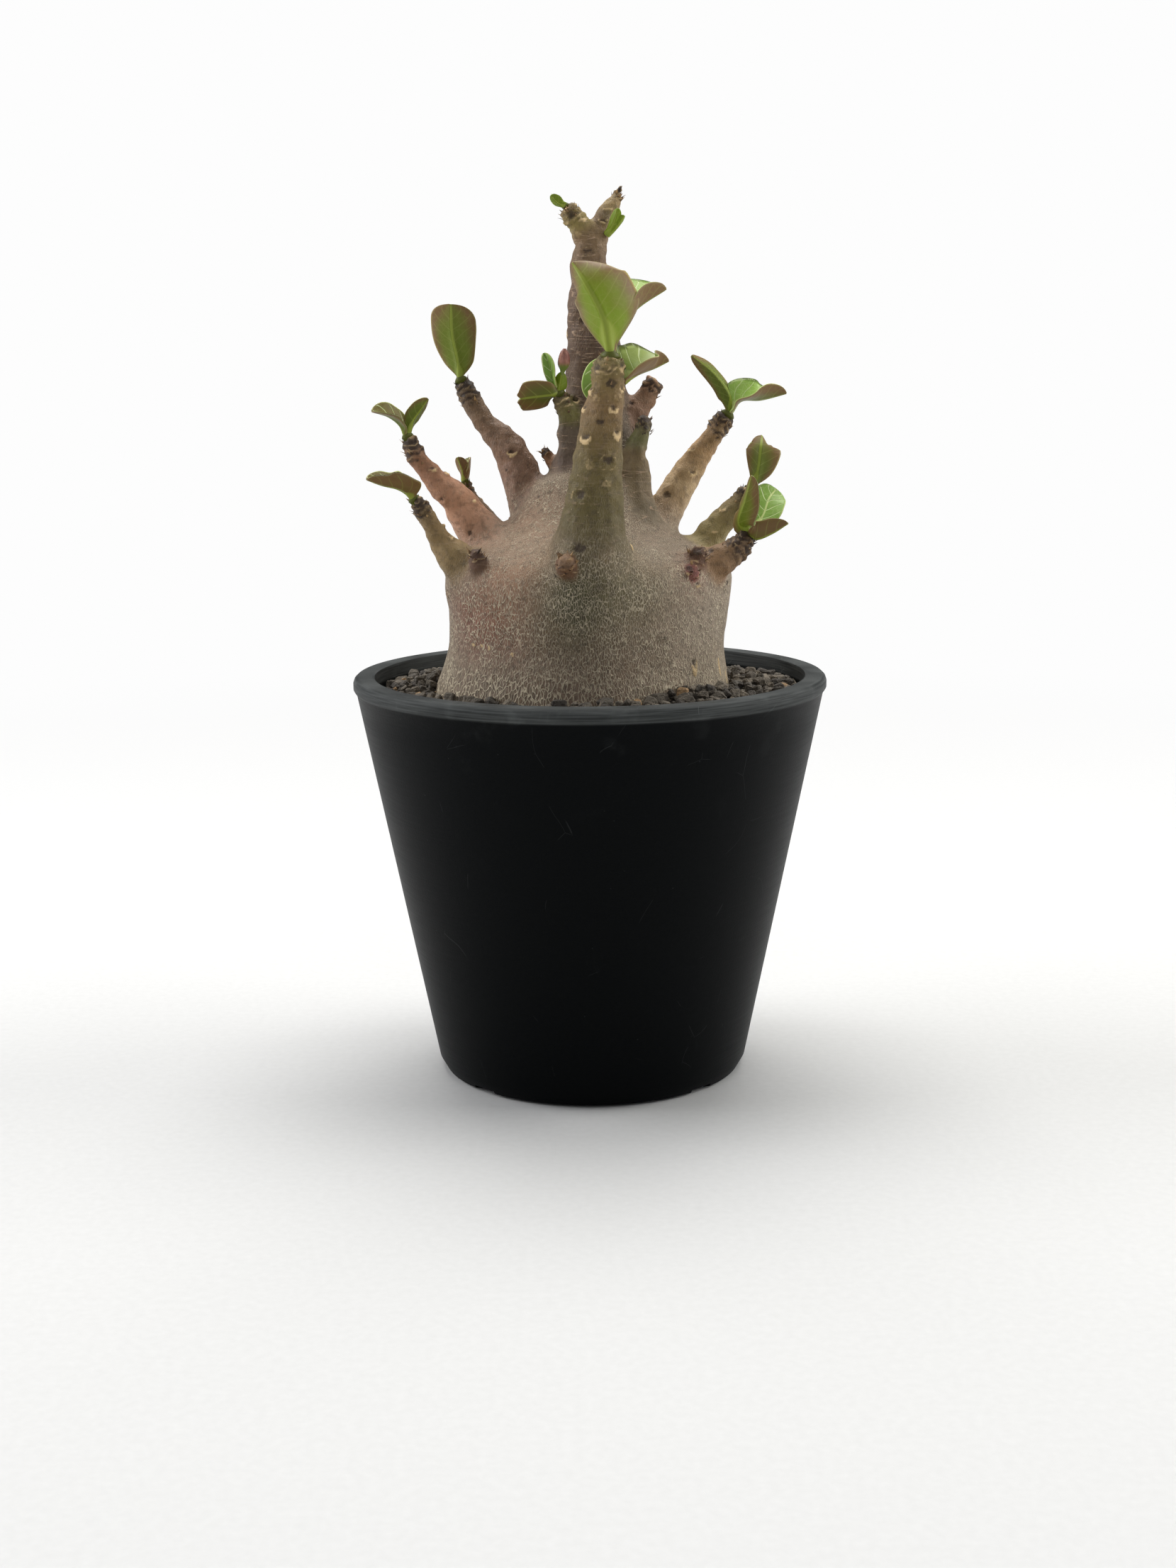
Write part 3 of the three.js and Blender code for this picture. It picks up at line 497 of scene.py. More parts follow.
# the plant: caudex and branches, [x, y, z, radius] from a flared root inside the caudex to the tip
caudex = {
    "x": -1,
    "outline": [
        [0, 68], [14, 69.5], [24, 75], [31, 83], [35.5, 91], [37.2, 97], [36.6, 101], [35.2, 107],
        [34.6, 113], [35, 119], [35.8, 125], [35.6, 129], [33.8, 132.4], [30.6, 134.6], [26.4, 136.6],
        [22, 138.9], [17.8, 142.5], [14.2, 147.5], [11, 152], [0, 155],
    ],
    "lobes": [(3, 0.02, 0.4), (5, 0.015, 1.1)],  # waves, height, turn
    "lean": (-1.5, 98, 120),  # its foot stands further left than its shoulders
    "outlineSteps": 90, "turnSteps": 120, "branchRings": 40, "branchSides": 24,
    "voxel": 0.66, "creaseRounds": 60, "evenRounds": 3,
}
branches = {
    "front": [
        [-1, -14, 116, 15], [-0.8, -22, 126, 13.4], [0.2, -28, 134.5, 11], [0.8, -30, 142, 8],
        [1.5, -31, 151.5, 6.5], [2.4, -32, 160, 5.6], [3.3, -33, 168, 4.8], [4.6, -34, 175, 3.9],
        [5.2, -35, 181.5, 3.2],
    ],
    "trunk": [
        [-1, 4, 128, 17], [0, 4, 138, 15], [2, 4.5, 147, 12.4], [2.8, 5, 155, 10.4],
        [2.6, 5, 163, 9], [2.1, 5, 172, 7.8], [1.7, 5, 180, 7], [1.5, 5, 188, 6.4],
        [0.8, 5, 193.4, 5.9], [0.5, 5, 195.4, 5.6], [0.2, 5, 198, 4.6], [0.3, 5, 203, 4.3],
        [0.8, 5, 207, 4], [1.3, 5, 211, 4.2],
    ],
    "crownLeft": [[1, 5, 208.5, 3.6], [-1.2, 4, 212.7, 2.9], [-3.3, 3.5, 215.7, 2.6], [-4.9, 3, 217.9, 2]],
    "crownRight": [
        [1.6, 5, 209, 3.4], [3.6, 6, 213.9, 2.7], [5.4, 6.5, 217, 2.4], [7, 7, 219.7, 1.6],
        [7.8, 7.6, 221.7, 0.9], [9, 8, 223.5, 0.4],
    ],
    "trunkRight": [
        [3, 5, 157, 5.4], [7, 6, 162.6, 4.2], [11.6, 6, 167.9, 3.6], [15, 6, 172.5, 2.6],
        [17, 6, 175.9, 2.2],
    ],
    "heel": [[5, -1, 130, 11], [10.6, -3, 142, 7.2], [11.4, -3, 149, 4.6], [11.8, -3, 156.6, 3.2]],
    "heelShoot": [[11.8, -3, 155, 2.6], [12.3, -3, 160, 2.4], [13.7, -3, 164.4, 2.1], [14.4, -3, 167, 1.5]],
    "stub": [[-3, 0, 148, 4.8], [-5, -1, 154, 3.6], [-5, -1, 159, 2.8], [-4.9, -1, 163.4, 2.9]],
    "stubShoot": [
        [-4.9, -1, 162, 2.6], [-4.6, -1.4, 166, 2.5], [-5.5, -1.8, 169.6, 2.5], [-6.9, -2, 172.3, 2.1],
    ],
    "spur": [[-6, 2, 151, 2.4], [-8.6, 2, 155.4, 1.8], [-10.3, 2, 157.9, 1.5], [-11.7, 2, 159.3, 0.7]],
    "upperLeft": [
        [-8, 2, 128, 10], [-12.8, 3.2, 138, 7.2], [-15, 4, 145.1, 5.5], [-17.6, 5, 153.8, 4.9],
        [-21.1, 6, 160.5, 4], [-25.9, 7, 165.5, 2.9], [-29.3, 8, 171, 2.5], [-31.7, 8, 175.8, 1.8],
    ],
    "left": [
        [-13, -1, 122, 10], [-22, -3, 133.6, 7.2], [-28.1, -4, 140.3, 5.3], [-32.2, -5, 146.5, 4.3],
        [-38.2, -6, 152.6, 2.9], [-42.7, -7, 158.7, 2.4], [-44.3, -7, 162.4, 1.6],
    ],
    "lowLeft": [
        [-21, -9, 120, 9.5], [-29, -13.5, 129.7, 6.2], [-33.5, -16, 134.7, 4.2], [-36.7, -17, 139.1, 2.7],
        [-39.5, -18, 144.3, 2.1], [-42.1, -19, 148, 1.6],
    ],
    "smallLeft": [
        [-20, 8, 132, 3.6], [-25.6, 9.5, 142, 1.8], [-29.9, 10, 147.6, 1.1], [-31.3, 10, 150.6, 1.1],
    ],
    "upperRight": [
        [8, 8, 124, 9], [15.5, 10, 136, 6.6], [20, 12, 143.4, 5], [23.6, 12, 149.7, 4.3],
        [27.5, 12, 156, 3.4], [31.9, 12, 161.6, 2.5], [35.2, 12, 166.6, 2.2],
    ],
    "right": [
        [15, 0, 120, 9.5], [23, -3, 129, 6.2], [28.3, -4, 134.3, 4.6], [31.4, -4, 139.4, 3.6],
        [35.5, -4, 143.6, 3], [39.8, -4, 148.6, 2],
    ],
    "lowRight": [
        [19, -7, 121, 8.5], [26, -12, 127.5, 5.4], [29.9, -14, 131.4, 4.2], [34.4, -14, 133.8, 3.4],
        [37.6, -14, 136.2, 2.7], [39.4, -14, 138.8, 2],
    ],
    "back": [
        [0, 12, 120, 13], [0.5, 22, 137, 8], [1, 28, 149, 5.6], [1.6, 32.5, 160, 4.2], [2, 36, 170, 2.8],
    ],
    "backLeft": [[-9, 12, 120, 9], [-14.5, 21, 130, 5.4], [-18, 26.5, 136, 3.4]],
    "backRight": [[9, 12, 120, 9], [14, 22, 129.5, 5], [17, 27.5, 134.6, 3]],
    "dryLeft": [
        [-24, -19, 127, 4.6], [-26.3, -22.6, 131.5, 2.6], [-27.2, -23.9, 134.2, 1.9],
        [-27.4, -24.4, 136.4, 1.2],
    ],
    "dryFront": [[-4.4, -33, 131, 3.8], [-5.2, -37.2, 133.6, 2.3], [-5.5, -39.4, 135.2, 1.8]],
    "dryRight": [[24, -17, 130, 3.8], [26, -19.6, 133.4, 2.3], [26.8, -20.8, 135.8, 1.7]],
    "dryRed": [[22, -20, 127.6, 3], [24.2, -22.6, 130.2, 1.9], [25, -23.8, 131.6, 1.3]],
}
oldWood = ("trunk", "stub", "heel")  # ringed, and bare of dry scales

# skin colours: the base, patches as [x, y, z], reach, colour, strength, and each branch from root to tip
skinTints = {
    "base": (122, 104, 84),
    "patches": [
        ([-27, -22, 118], 13, (122, 66, 50), 0.9),  # pink on the left
        ([-20, -28, 127], 10, (140, 100, 74), 0.6),
        ([-16, -30, 134], 8, (164, 126, 98), 0.6),
        ([-33, -12, 103], 12, (120, 108, 90), 0.85),  # greyer foot on the left
        ([-24, -26, 101], 9, (112, 100, 82), 0.7),
        # painted light: these two lighten the flank of the left branch's base and the left of the dome, with
        # a painted sheen, as if lit from the side
        ([-27, -10, 141], 6, (198, 158, 136), 0.8),
        ([-13, -15, 141], 9, (178, 148, 120), 0.6),
        ([30, -12, 102], 11, (160, 146, 124), 0.7),  # pale foot on the right
        ([29, -18, 120], 14, (164, 148, 130), 0.75),
        ([0, -35, 104], 14, (112, 92, 76), 0.7),  # brown above the soil
        # painted shade: the green below the dried bud is darkened as shade under the knob, and the smallest
        # of these three patches is a painted shadow streak running down from it
        ([-3, -37, 128], 9, (66, 68, 40), 0.85),  # green below the dried bud
        ([-4, -36, 120], 8, (84, 84, 56), 0.6),
        ([-3, -37, 123], 4, (58, 56, 38), 0.6),
        ([10, -34, 127], 9, (98, 94, 62), 0.6),
        ([-30, -17, 130], 6, (84, 82, 58), 0.6),
        ([-18, -12, 140], 13, (156, 120, 98), 0.6),  # warm shoulders
        ([18, -12, 138], 14, (144, 122, 102), 0.5),
        ([24, -20, 130], 5, (150, 92, 78), 0.5),
        ([9, 2, 163], 7, (90, 80, 64), 0.85),  # grey wood right of the trunk
    ],
    "cleanTips": ("front", "crownLeft", "stubShoot", "dryLeft", "dryFront", "dryRight", "dryRed"),
}
branchTints = {
    "front": [(64, 62, 36), (70, 64, 34), (86, 76, 40), (98, 84, 44), (120, 94, 58), (110, 98, 50)],
    "trunk": [(96, 84, 68), (82, 68, 54), (88, 68, 52), (90, 68, 50), (102, 78, 58), (124, 100, 70)],
    "crownLeft": [(124, 100, 70), (136, 120, 68), (120, 98, 58)],
    "crownRight": [(128, 104, 74), (140, 118, 74), (122, 98, 60)],
    "trunkRight": [(98, 88, 72), (128, 98, 78), (150, 114, 84)],
    "heel": [(94, 84, 68), (106, 92, 68), (112, 94, 64)],
    "heelShoot": [(96, 96, 58), (100, 98, 58), (88, 68, 50)],
    "stub": [(112, 92, 78), (100, 84, 72), (98, 84, 68)],
    "stubShoot": [(104, 100, 54), (106, 100, 54), (104, 92, 58)],
    "spur": [(116, 88, 70), (136, 98, 68), (84, 58, 44)],
    "upperLeft": [(160, 122, 104), (140, 108, 90), (128, 98, 78), (114, 88, 64), (88, 72, 50)],
    # painted light: the left branch's rows near the root are lightened past its own pink, standing for light
    # falling on its side
    "left": [(216, 172, 148), (200, 160, 134), (178, 132, 102), (150, 106, 78), (92, 76, 52)],
    "lowLeft": [(182, 150, 122), (144, 122, 82), (132, 108, 70), (94, 76, 50)],
    "smallLeft": [(122, 96, 70), (104, 82, 60)],
    # painted light: the upper right branch is lightened, standing for light falling on its side
    "upperRight": [(180, 152, 128), (184, 158, 128), (184, 158, 120), (164, 130, 88), (108, 86, 56)],
    "right": [(156, 132, 106), (150, 136, 92), (148, 132, 86), (112, 92, 62)],
    "lowRight": [(148, 112, 92), (142, 110, 78), (128, 100, 70), (92, 72, 50)],
    "back": [(128, 108, 86), (124, 106, 76), (116, 98, 66)],
    "backLeft": [(132, 112, 90), (126, 104, 80)],
    "backRight": [(132, 112, 90), (126, 104, 80)],
    "dryLeft": [(96, 84, 58), (84, 58, 42), (74, 50, 38)],
    "dryFront": [(84, 74, 50), (104, 72, 48), (124, 94, 66)],
    "dryRight": [(132, 100, 78), (104, 72, 52), (90, 62, 44)],
    "dryRed": [(146, 96, 80), (124, 66, 56), (110, 60, 50)],
}

# dry scales at the branch tips, and how far down from the tip they reach
dryScales = {
    "seed": 7, "perMillimetre": 2.6, "length": (0.7, 1.6), "width": (0.25, 0.5), "flatness": 0.35,
    "spread": (0.35, 0.9), "onBuds": 1.4, "wobble": 0.1, "band": 4.5,
    "bands": {
        "upperLeft": 8, "left": 7, "upperRight": 7, "lowRight": 9, "lowLeft": 6, "crownLeft": 6, "spur": 3,
        "front": 6,
    },
}

# marks on the skin: [x, y, z], width, height and kind
skinMarks = [
    ([-0.7, -36.3, 162.9], 4.2, 2.8, "crescent"), ([6.7, -35.9, 163.9], 3.2, 3, "crescent"),
    ([5.9, -36.8, 169.8], 3.4, 2.2, "crescent"), ([-0.5, -34.6, 169.7], 3, 2, "crescent"),
    ([2.8, -37.5, 167.1], 2.4, 1.4, "pit"), ([4.4, -36.6, 157.6], 4.8, 4, "round"),
    ([-1.9, -36.3, 149.8], 5, 4, "round"), ([4.4, -37, 152.6], 3.4, 2.6, "bulge"),
    ([0.4, -37.4, 157.2], 3, 2.6, "bulge"), ([-2.1, -37.2, 137.8], 3.4, 2.2, "pit"),
    ([-3.7, 1, 216.1], 2.2, 1.8, "pit"), ([-5, 2, 214.2], 2.4, 2, "bulge"),
    ([-1.4, 2.4, 214.6], 2.2, 1.6, "crescent"), ([5.4, 4.3, 217.5], 2.6, 1.2, "crescent"),
    ([4, 3.6, 214.6], 2.8, 1.4, "crescent"), ([-2.2, 1.8, 211.5], 3, 1.8, "bulge"),
    ([-28.2, -22.8, 113], 1.3, 0.9, "fleck"), ([-26.2, -24.6, 113.2], 1.2, 1, "fleck"),
    ([-24.4, -26.3, 112.9], 1.4, 0.9, "fleck"), ([-18.8, -30.3, 111.7], 1.3, 0.8, "fleck"),
    ([32.1, -12.6, 106], 1.2, 5, "fleck"), ([34.2, -7.9, 102.6], 1.2, 4, "fleck"),
    ([5.4, -37.6, 175.7], 3, 2.4, "pit"), ([2, -37, 172.4], 2.6, 2.2, "bulge"),
    ([1, -37.4, 179.4], 2.2, 1.8, "pit"), ([4.6, -38.4, 180.6], 4.4, 2.2, "bulge"),
    ([7.8, -36.8, 179.4], 2.6, 2.2, "crescent"), ([-0.2, -35.6, 174.2], 2.8, 2.4, "crescent"),
    ([8.1, -35.6, 174.4], 2.6, 2, "crescent"), ([3, -38, 178], 3.6, 1.8, "bulge"),
    ([6.9, -36.6, 172.9], 2.6, 2.2, "bulge"), ([2.6, -37.8, 167], 2, 1.6, "round"),
    ([-19.1, 1.2, 158.1], 3.2, 2, "crescent"), ([-12.6, -8.4, 147.7], 3, 2.2, "round"),
    ([-20.7, 1.4, 154.1], 2.6, 1.6, "round"), ([-38.3, -8.6, 154.8], 2.4, 1.6, "crescent"),
    ([-36.1, -8.1, 147.4], 2.6, 2, "round"), ([-28.8, -7.6, 146.9], 2, 1.4, "crescent"),
    ([-29.5, -8.5, 139.1], 1.4, 1.4, "pit"), ([-33.5, -18, 139.1], 2, 1.8, "crescent"),
    ([26.2, 9.9, 158.3], 3, 1.4, "crescent"), ([26.6, 8.6, 152.5], 3.4, 2.2, "crescent"),
    ([19.8, 8.2, 147.3], 2.6, 2.2, "pit"), ([32.9, 9.4, 161.3], 2.4, 2, "round"),
    ([33.3, -6.2, 144.2], 2.4, 1.6, "crescent"), ([31.1, -7.4, 139], 2.4, 1.2, "crescent"),
    ([26.4, -22, 135.6], 2.4, 2, "pit"), ([24.2, -24.2, 132], 2.2, 1.8, "pit"),
    ([29.7, -15.9, 135], 2, 2, "pit"), ([34.1, -15.7, 136.7], 1.8, 1.8, "pit"),
    ([0.1, 1.3, 207.2], 4.4, 2.4, "round"), ([-0.9, -0.3, 190.2], 3.4, 3.4, "round"),
    ([18.1, -27.7, 114.9], 1.8, 1.8, "round"), ([26.1, -22, 107], 2.4, 5.4, "crescent"),
]

# leaf scars that wind up each branch; those towards the camera are placed one by one above
scars = {"seed": 5, "from": 0.3, "tip": 3, "gap": (3, 5.5), "turn": 137.5, "widest": 3.6, "facing": -0.25}

# faint folds across the front of the caudex: x and z of the middle, half its width and how far it sags
skinFolds = [(2, 131.6, 7, 0.9), (8, 128.6, 8, 1.6), (-9, 127.4, 7, 1), (3, 125.4, 9, 1.2), (-2, 116, 16, 1)]

# unevenness of the skin, as size and height; collars are crowded rings close to each tip
skinRelief = {
    "bumps": (9, 0.35), "swells": (19, 1.6), "knobs": (3.2, 0.4), "rings": 0.1, "collarGap": 1.5,
    "collarSize": 1.6, "foldHeight": 0.16, "foldWidth": 0.45,
}


def caudexMiddle(height):
    shift, low, high = caudex["lean"]
    return caudex["x"] + shift * (1 - float(smoothStep(height, low, high)))


def growPlant():
    profile = [np.array((radius, 0.0, height)) * mm for radius, height in caudex["outline"]]
    places = [pathAt(profile, t)[0] for t in np.linspace(0, 1, caudex["outlineSteps"])]
    bm = turnOutline([(max(x, 0), height) for x, _, height in places], caudex["turnSteps"])
    for vert in bm.verts:
        angle = math.atan2(vert.co.y, vert.co.x)
        scale = lobedScale(angle)
        vert.co.x = vert.co.x * scale + caudexMiddle(vert.co.z / mm) * mm
        vert.co.y *= scale
    for walk in walks.values():
        growTube(bm, walk, caudex["branchSides"])
    whole = makeObject("whole", bm, smooth=False)
    skin = whole.modifiers.new("skin", "REMESH")
    skin.mode = "VOXEL"
    skin.voxel_size = caudex["voxel"] * mm
    mesh = bakedMesh(whole)
    bpy.data.objects.remove(whole)
    return mesh


def lobedScale(angle):  # the caudex is not quite round
    return 1 + sum(height * math.cos(waves * angle + turn) for waves, height, turn in caudex["lobes"])


def readMesh(mesh, what="co"):
    values = np.zeros(len(mesh.vertices) * 3, np.float32)
    if what == "co":
        mesh.vertices.foreach_get("co", values)
    else:
        mesh.vertex_normals.foreach_get("vector", values)
    return values.reshape(-1, 3).astype(float)


def writeMesh(mesh, places):
    mesh.vertices.foreach_set("co", places.astype(np.float32).ravel())
    mesh.update()


def relaxMesh(mesh, rounds, creasesOnly):  # evens the skin out, or only fills its creases
    fullDepth = 0.012 * mm  # a hollow this deep fills at full pace
    renewEvery = 8  # rounds between two readings of the normals
    pairs = np.zeros(len(mesh.edges) * 2, np.int64)
    mesh.edges.foreach_get("vertices", pairs)
    first, second = pairs.reshape(-1, 2).T
    source, target = np.concatenate((first, second)), np.concatenate((second, first))
    places = readMesh(mesh)
    count = len(places)
    links = np.bincount(source, minlength=count)[:, None]
    for k in range(rounds):
        if creasesOnly and k % renewEvery == 0:
            writeMesh(mesh, places)
            normals = readMesh(mesh, "normal")
        around = np.stack([np.bincount(source, places[target, i], count) for i in range(3)], 1)
        pull = around / links - places
        if creasesOnly:
            outward = (pull * normals).sum(1, keepdims=True)
            pull *= np.clip(outward / fullDepth, 0, 1)
        places += 0.5 * pull
    writeMesh(mesh, places)


def smoothStep(value, low, high):
    t = np.clip((value - low) / (high - low), 0, 1)
    return t * t * (3 - 2 * t)


def tintRow(colours, share):  # a colour along a row of them
    row = np.array([tint(*colour)[:3] for colour in colours])
    place = np.clip(share, 0, 1) * (len(row) - 1)
    low = np.minimum(place.astype(int), len(row) - 2)
    part = (place - low)[:, None]
    return row[low] * (1 - part) + row[low + 1] * part


def measureBranch(walk, places):  # where each place lies along, round and out from a branch
    beyond = 2.5 * mm  # further off along the branch than this lies past its end
    away = places[:, None, :] - walk["centre"][None]
    nearest = np.argmin((away**2).sum(2), 1)
    away = away[np.arange(len(places)), nearest]
    along = (away * walk["along"][nearest]).sum(1)
    across = (away * walk["across"][nearest]).sum(1)
    beside = (away * walk["beside"][nearest]).sum(1)
    out = np.hypot(across, beside)
    reach = np.where(np.abs(along) < beyond, out, np.hypot(out, along)) / walk["radius"][nearest]
    return nearest / (len(walk["run"]) - 1), walk["run"][nearest] + along, np.arctan2(beside, across), reach


def fractalAt(places, size, octaves):
    return np.array([noise.fractal(Vector(place) / (size * mm), 1.0, 2.0, octaves) for place in places])


def noiseAt(places, size):
    return np.array([noise.noise(Vector(place) / (size * mm)) for place in places])


def raiseTo(coat, name, near, value):
    coat[name][near] = np.maximum(coat[name][near], value)


def tintBranches(places, coat):
    for centre, reach, colour, strength in skinTints["patches"]:
        away = ((places - np.array(centre) * mm) ** 2).sum(1)
        share = (strength * np.exp(-away / (reach * mm) ** 2))[:, None]
        coat["skin"] += (np.array(tint(*colour)[:3]) - coat["skin"]) * share
    knobSize, knobHeight = skinRelief["knobs"]
    for k, (name, walk) in enumerate(walks.items()):
        reach = walk["radius"].max() + 4 * mm
        low, high = walk["centre"].min(0) - reach, walk["centre"].max(0) + reach
        near = np.where(((places > low) & (places < high)).all(1))[0]
        share, run, turn, out = measureBranch(walk, places[near])
        own = smoothStep(out, 1.5, 1.12) * smoothStep(share, 0.18, 0.45)  # 0 on the caudex
        coat["skin"][near] += (tintRow(branchTints[name], share) - coat["skin"][near]) * own[:, None]
        coat["net"][near] *= 1 - own * 0.75
        coat["lift"][near] += own * knobHeight * mm * fractalAt(places[near], knobSize, 2)
        rings = np.array([noise.noise((s * 520, k * 7.3, 0)) for s in run])
        coat["lift"][near] += own * skinRelief["rings"] * mm * np.maximum(rings, 0)
        if name in oldWood:
            raiseTo(coat, "ringed", near, own)
            continue
        raiseTo(coat, "ringed", near, 0.25 * own)
        band = dryScales["bands"].get(name, dryScales["band"]) * mm
        crowd = own * smoothStep(walk["run"][-1] - run, band, 0.45 * band)
        uneven = noiseAt(places[near], skinRelief["collarSize"])
        spiral = math.tau * run / (skinRelief["collarGap"] * mm) + turn
        wave = np.sin(spiral + 1.3 * np.sin(3 * turn + k) + 2.5 * uneven)
        soot = 0.5 if name in skinTints["cleanTips"] else 1
        coat["lift"][near] += crowd * (0.25 + 0.2 * wave + 0.25 * uneven) * mm
        raiseTo(coat, "dark", near, crowd * soot * (0.6 - 0.35 * wave + 0.5 * uneven))
        raiseTo(coat, "pale", near, crowd * (0.6 * wave - 0.1 + 0.5 * uneven))


def scarSpiral():
    draw = random.Random(scars["seed"])
    marks = []
    for walk in walks.values():
        length = walk["run"][-1]
        run = scars["from"] * length
        turn = draw.uniform(0, math.tau)
        while run < length - scars["tip"] * mm:
            i = int(np.searchsorted(walk["run"], run))
            out = walk["across"][i] * math.cos(turn) + walk["beside"][i] * math.sin(turn)
            if out[1] > scars["facing"]:
                width = min(0.9 * walk["radius"][i] / mm, scars["widest"]) * draw.uniform(0.8, 1.1)
                place = (walk["centre"][i] + out * walk["radius"][i]) / mm
                kind = draw.choice(("crescent", "round", "crescent", "bulge"))
                marks.append((place, width, 0.7 * width, kind))
            run += draw.uniform(*scars["gap"]) * mm
            turn += math.radians(scars["turn"])
    return marks


def markShape(kind, u, v, ragged):  # how pale, dark and high a mark is, u across and v up from its middle
    disc = smoothStep(u * u + v * v + 0.5 * ragged, 1.35, 0.6)
    none = 0 * disc
    if kind == "bulge":
        return 0.38 * disc, none, 0.3 * disc
    if kind == "fleck":
        return disc, none, 0.1 * disc
    if kind == "pit":
        return none, 0.65 * disc, -0.25 * disc
    if kind == "round":  # a ring with a sunken middle
        heart = smoothStep(u * u + (v - 0.25) ** 2 + 0.3 * ragged, 0.4, 0.1)
        rim = disc * (1 - smoothStep(u * u + v * v, 0.8, 0.3))
        return 0.5 * rim, 0.55 * heart + 0.12 * disc, 0.3 * rim + 0.14 * disc - 0.3 * heart
    # a crescent is a pale cushion, narrower below, with a hollow above it
    disc = smoothStep(u * u * (1.25 - 0.55 * v) + v * v + 0.4 * ragged, 1.3, 0.5)
    hollow = smoothStep(1.5 * u * u + (v - 0.75) ** 2 + 0.3 * ragged, 0.75, 0.2)
    return 0.78 * disc * (1 - hollow), 0.65 * hollow * disc, disc * (0.4 - 0.7 * hollow)


def markSkin(places, normals, coat):
    for centre, width, height, kind in skinMarks + scarSpiral():
        away = places - np.array(centre) * mm
        near = np.where((away**2).sum(1) < (1.3 * max(width, height) * mm) ** 2)[0]
        if not len(near):
            continue
        out = unit(normals[near[np.argmin((away[near] ** 2).sum(1))]])
        up = unit(np.array((0, 0, 1)) - out * out[2])
        u = away[near] @ np.cross(up, out) / (width * mm / 2)
        v = away[near] @ up / (height * mm / 2)
        pale, dark, lift = markShape(kind, u, v, noiseAt(places[near], 0.9))
        raiseTo(coat, "pale", near, pale)
        raiseTo(coat, "dark", near, dark)
        coat["lift"][near] += lift * mm


def foldSkin(places, coat):
    front = places[:, 1] < -25 * mm
    for middle, height, half, sag in skinFolds:
        aside = (places[:, 0] / mm - middle) / half
        above = places[:, 2] / mm - height - sag * (aside * aside - 1)
        fold = np.exp(-((above / skinRelief["foldWidth"]) ** 2)) * smoothStep(np.abs(aside), 1, 0.5) * front
        coat["pale"] = np.maximum(coat["pale"], 0.3 * fold)
        coat["lift"] += skinRelief["foldHeight"] * mm * fold


def dressPlant(mesh):
    places = readMesh(mesh)
    normals = readMesh(mesh, "normal")
    x, y, z = places.T / mm
    coat = {name: np.zeros(len(places)) for name in (*skinLayers, "lift")}
    coat["net"] += 1
    coat["skin"] = np.tile(np.array(tint(*skinTints["base"])[:3]), (len(places), 1))
    tintBranches(places, coat)
    markSkin(places, normals, coat)
    foldSkin(places, coat)
    coat["coarse"] = smoothStep(z, 113, 100) * (0.55 + 0.45 * smoothStep(x, 5, -20))  # wide at the foot
    size, height = skinRelief["bumps"]
    coat["lift"] += height * mm * fractalAt(places, size, 3) * smoothStep(z, 90, 100)
    size, height = skinRelief["swells"]  # only behind
    coat["lift"] += height * mm * fractalAt(places, size, 2) * smoothStep(z, 100, 115) * smoothStep(y, 4, 20)
    writeMesh(mesh, places + normals * coat["lift"][:, None])
    colours = np.concatenate((np.clip(coat["skin"], 0, 1), np.ones((len(places), 1))), 1)
    layer = mesh.attributes.new("skin", "FLOAT_COLOR", "POINT")
    layer.data.foreach_set("color", colours.astype(np.float32).ravel())
    for name in skinLayers:
        layer = mesh.attributes.new(name, "FLOAT", "POINT")
        layer.data.foreach_set("value", np.clip(coat[name], 0, 1).astype(np.float32))


walks = {name: walkBranch(stations, caudex["branchRings"]) for name, stations in branches.items()}
plantMesh = growPlant()
relaxMesh(plantMesh, caudex["creaseRounds"], True)
relaxMesh(plantMesh, caudex["evenRounds"], False)
dressPlant(plantMesh)
finishPiece(linkMesh("plantBody", plantMesh, barkMaterial()), "bark", "plant")
print("caudex and branches made")
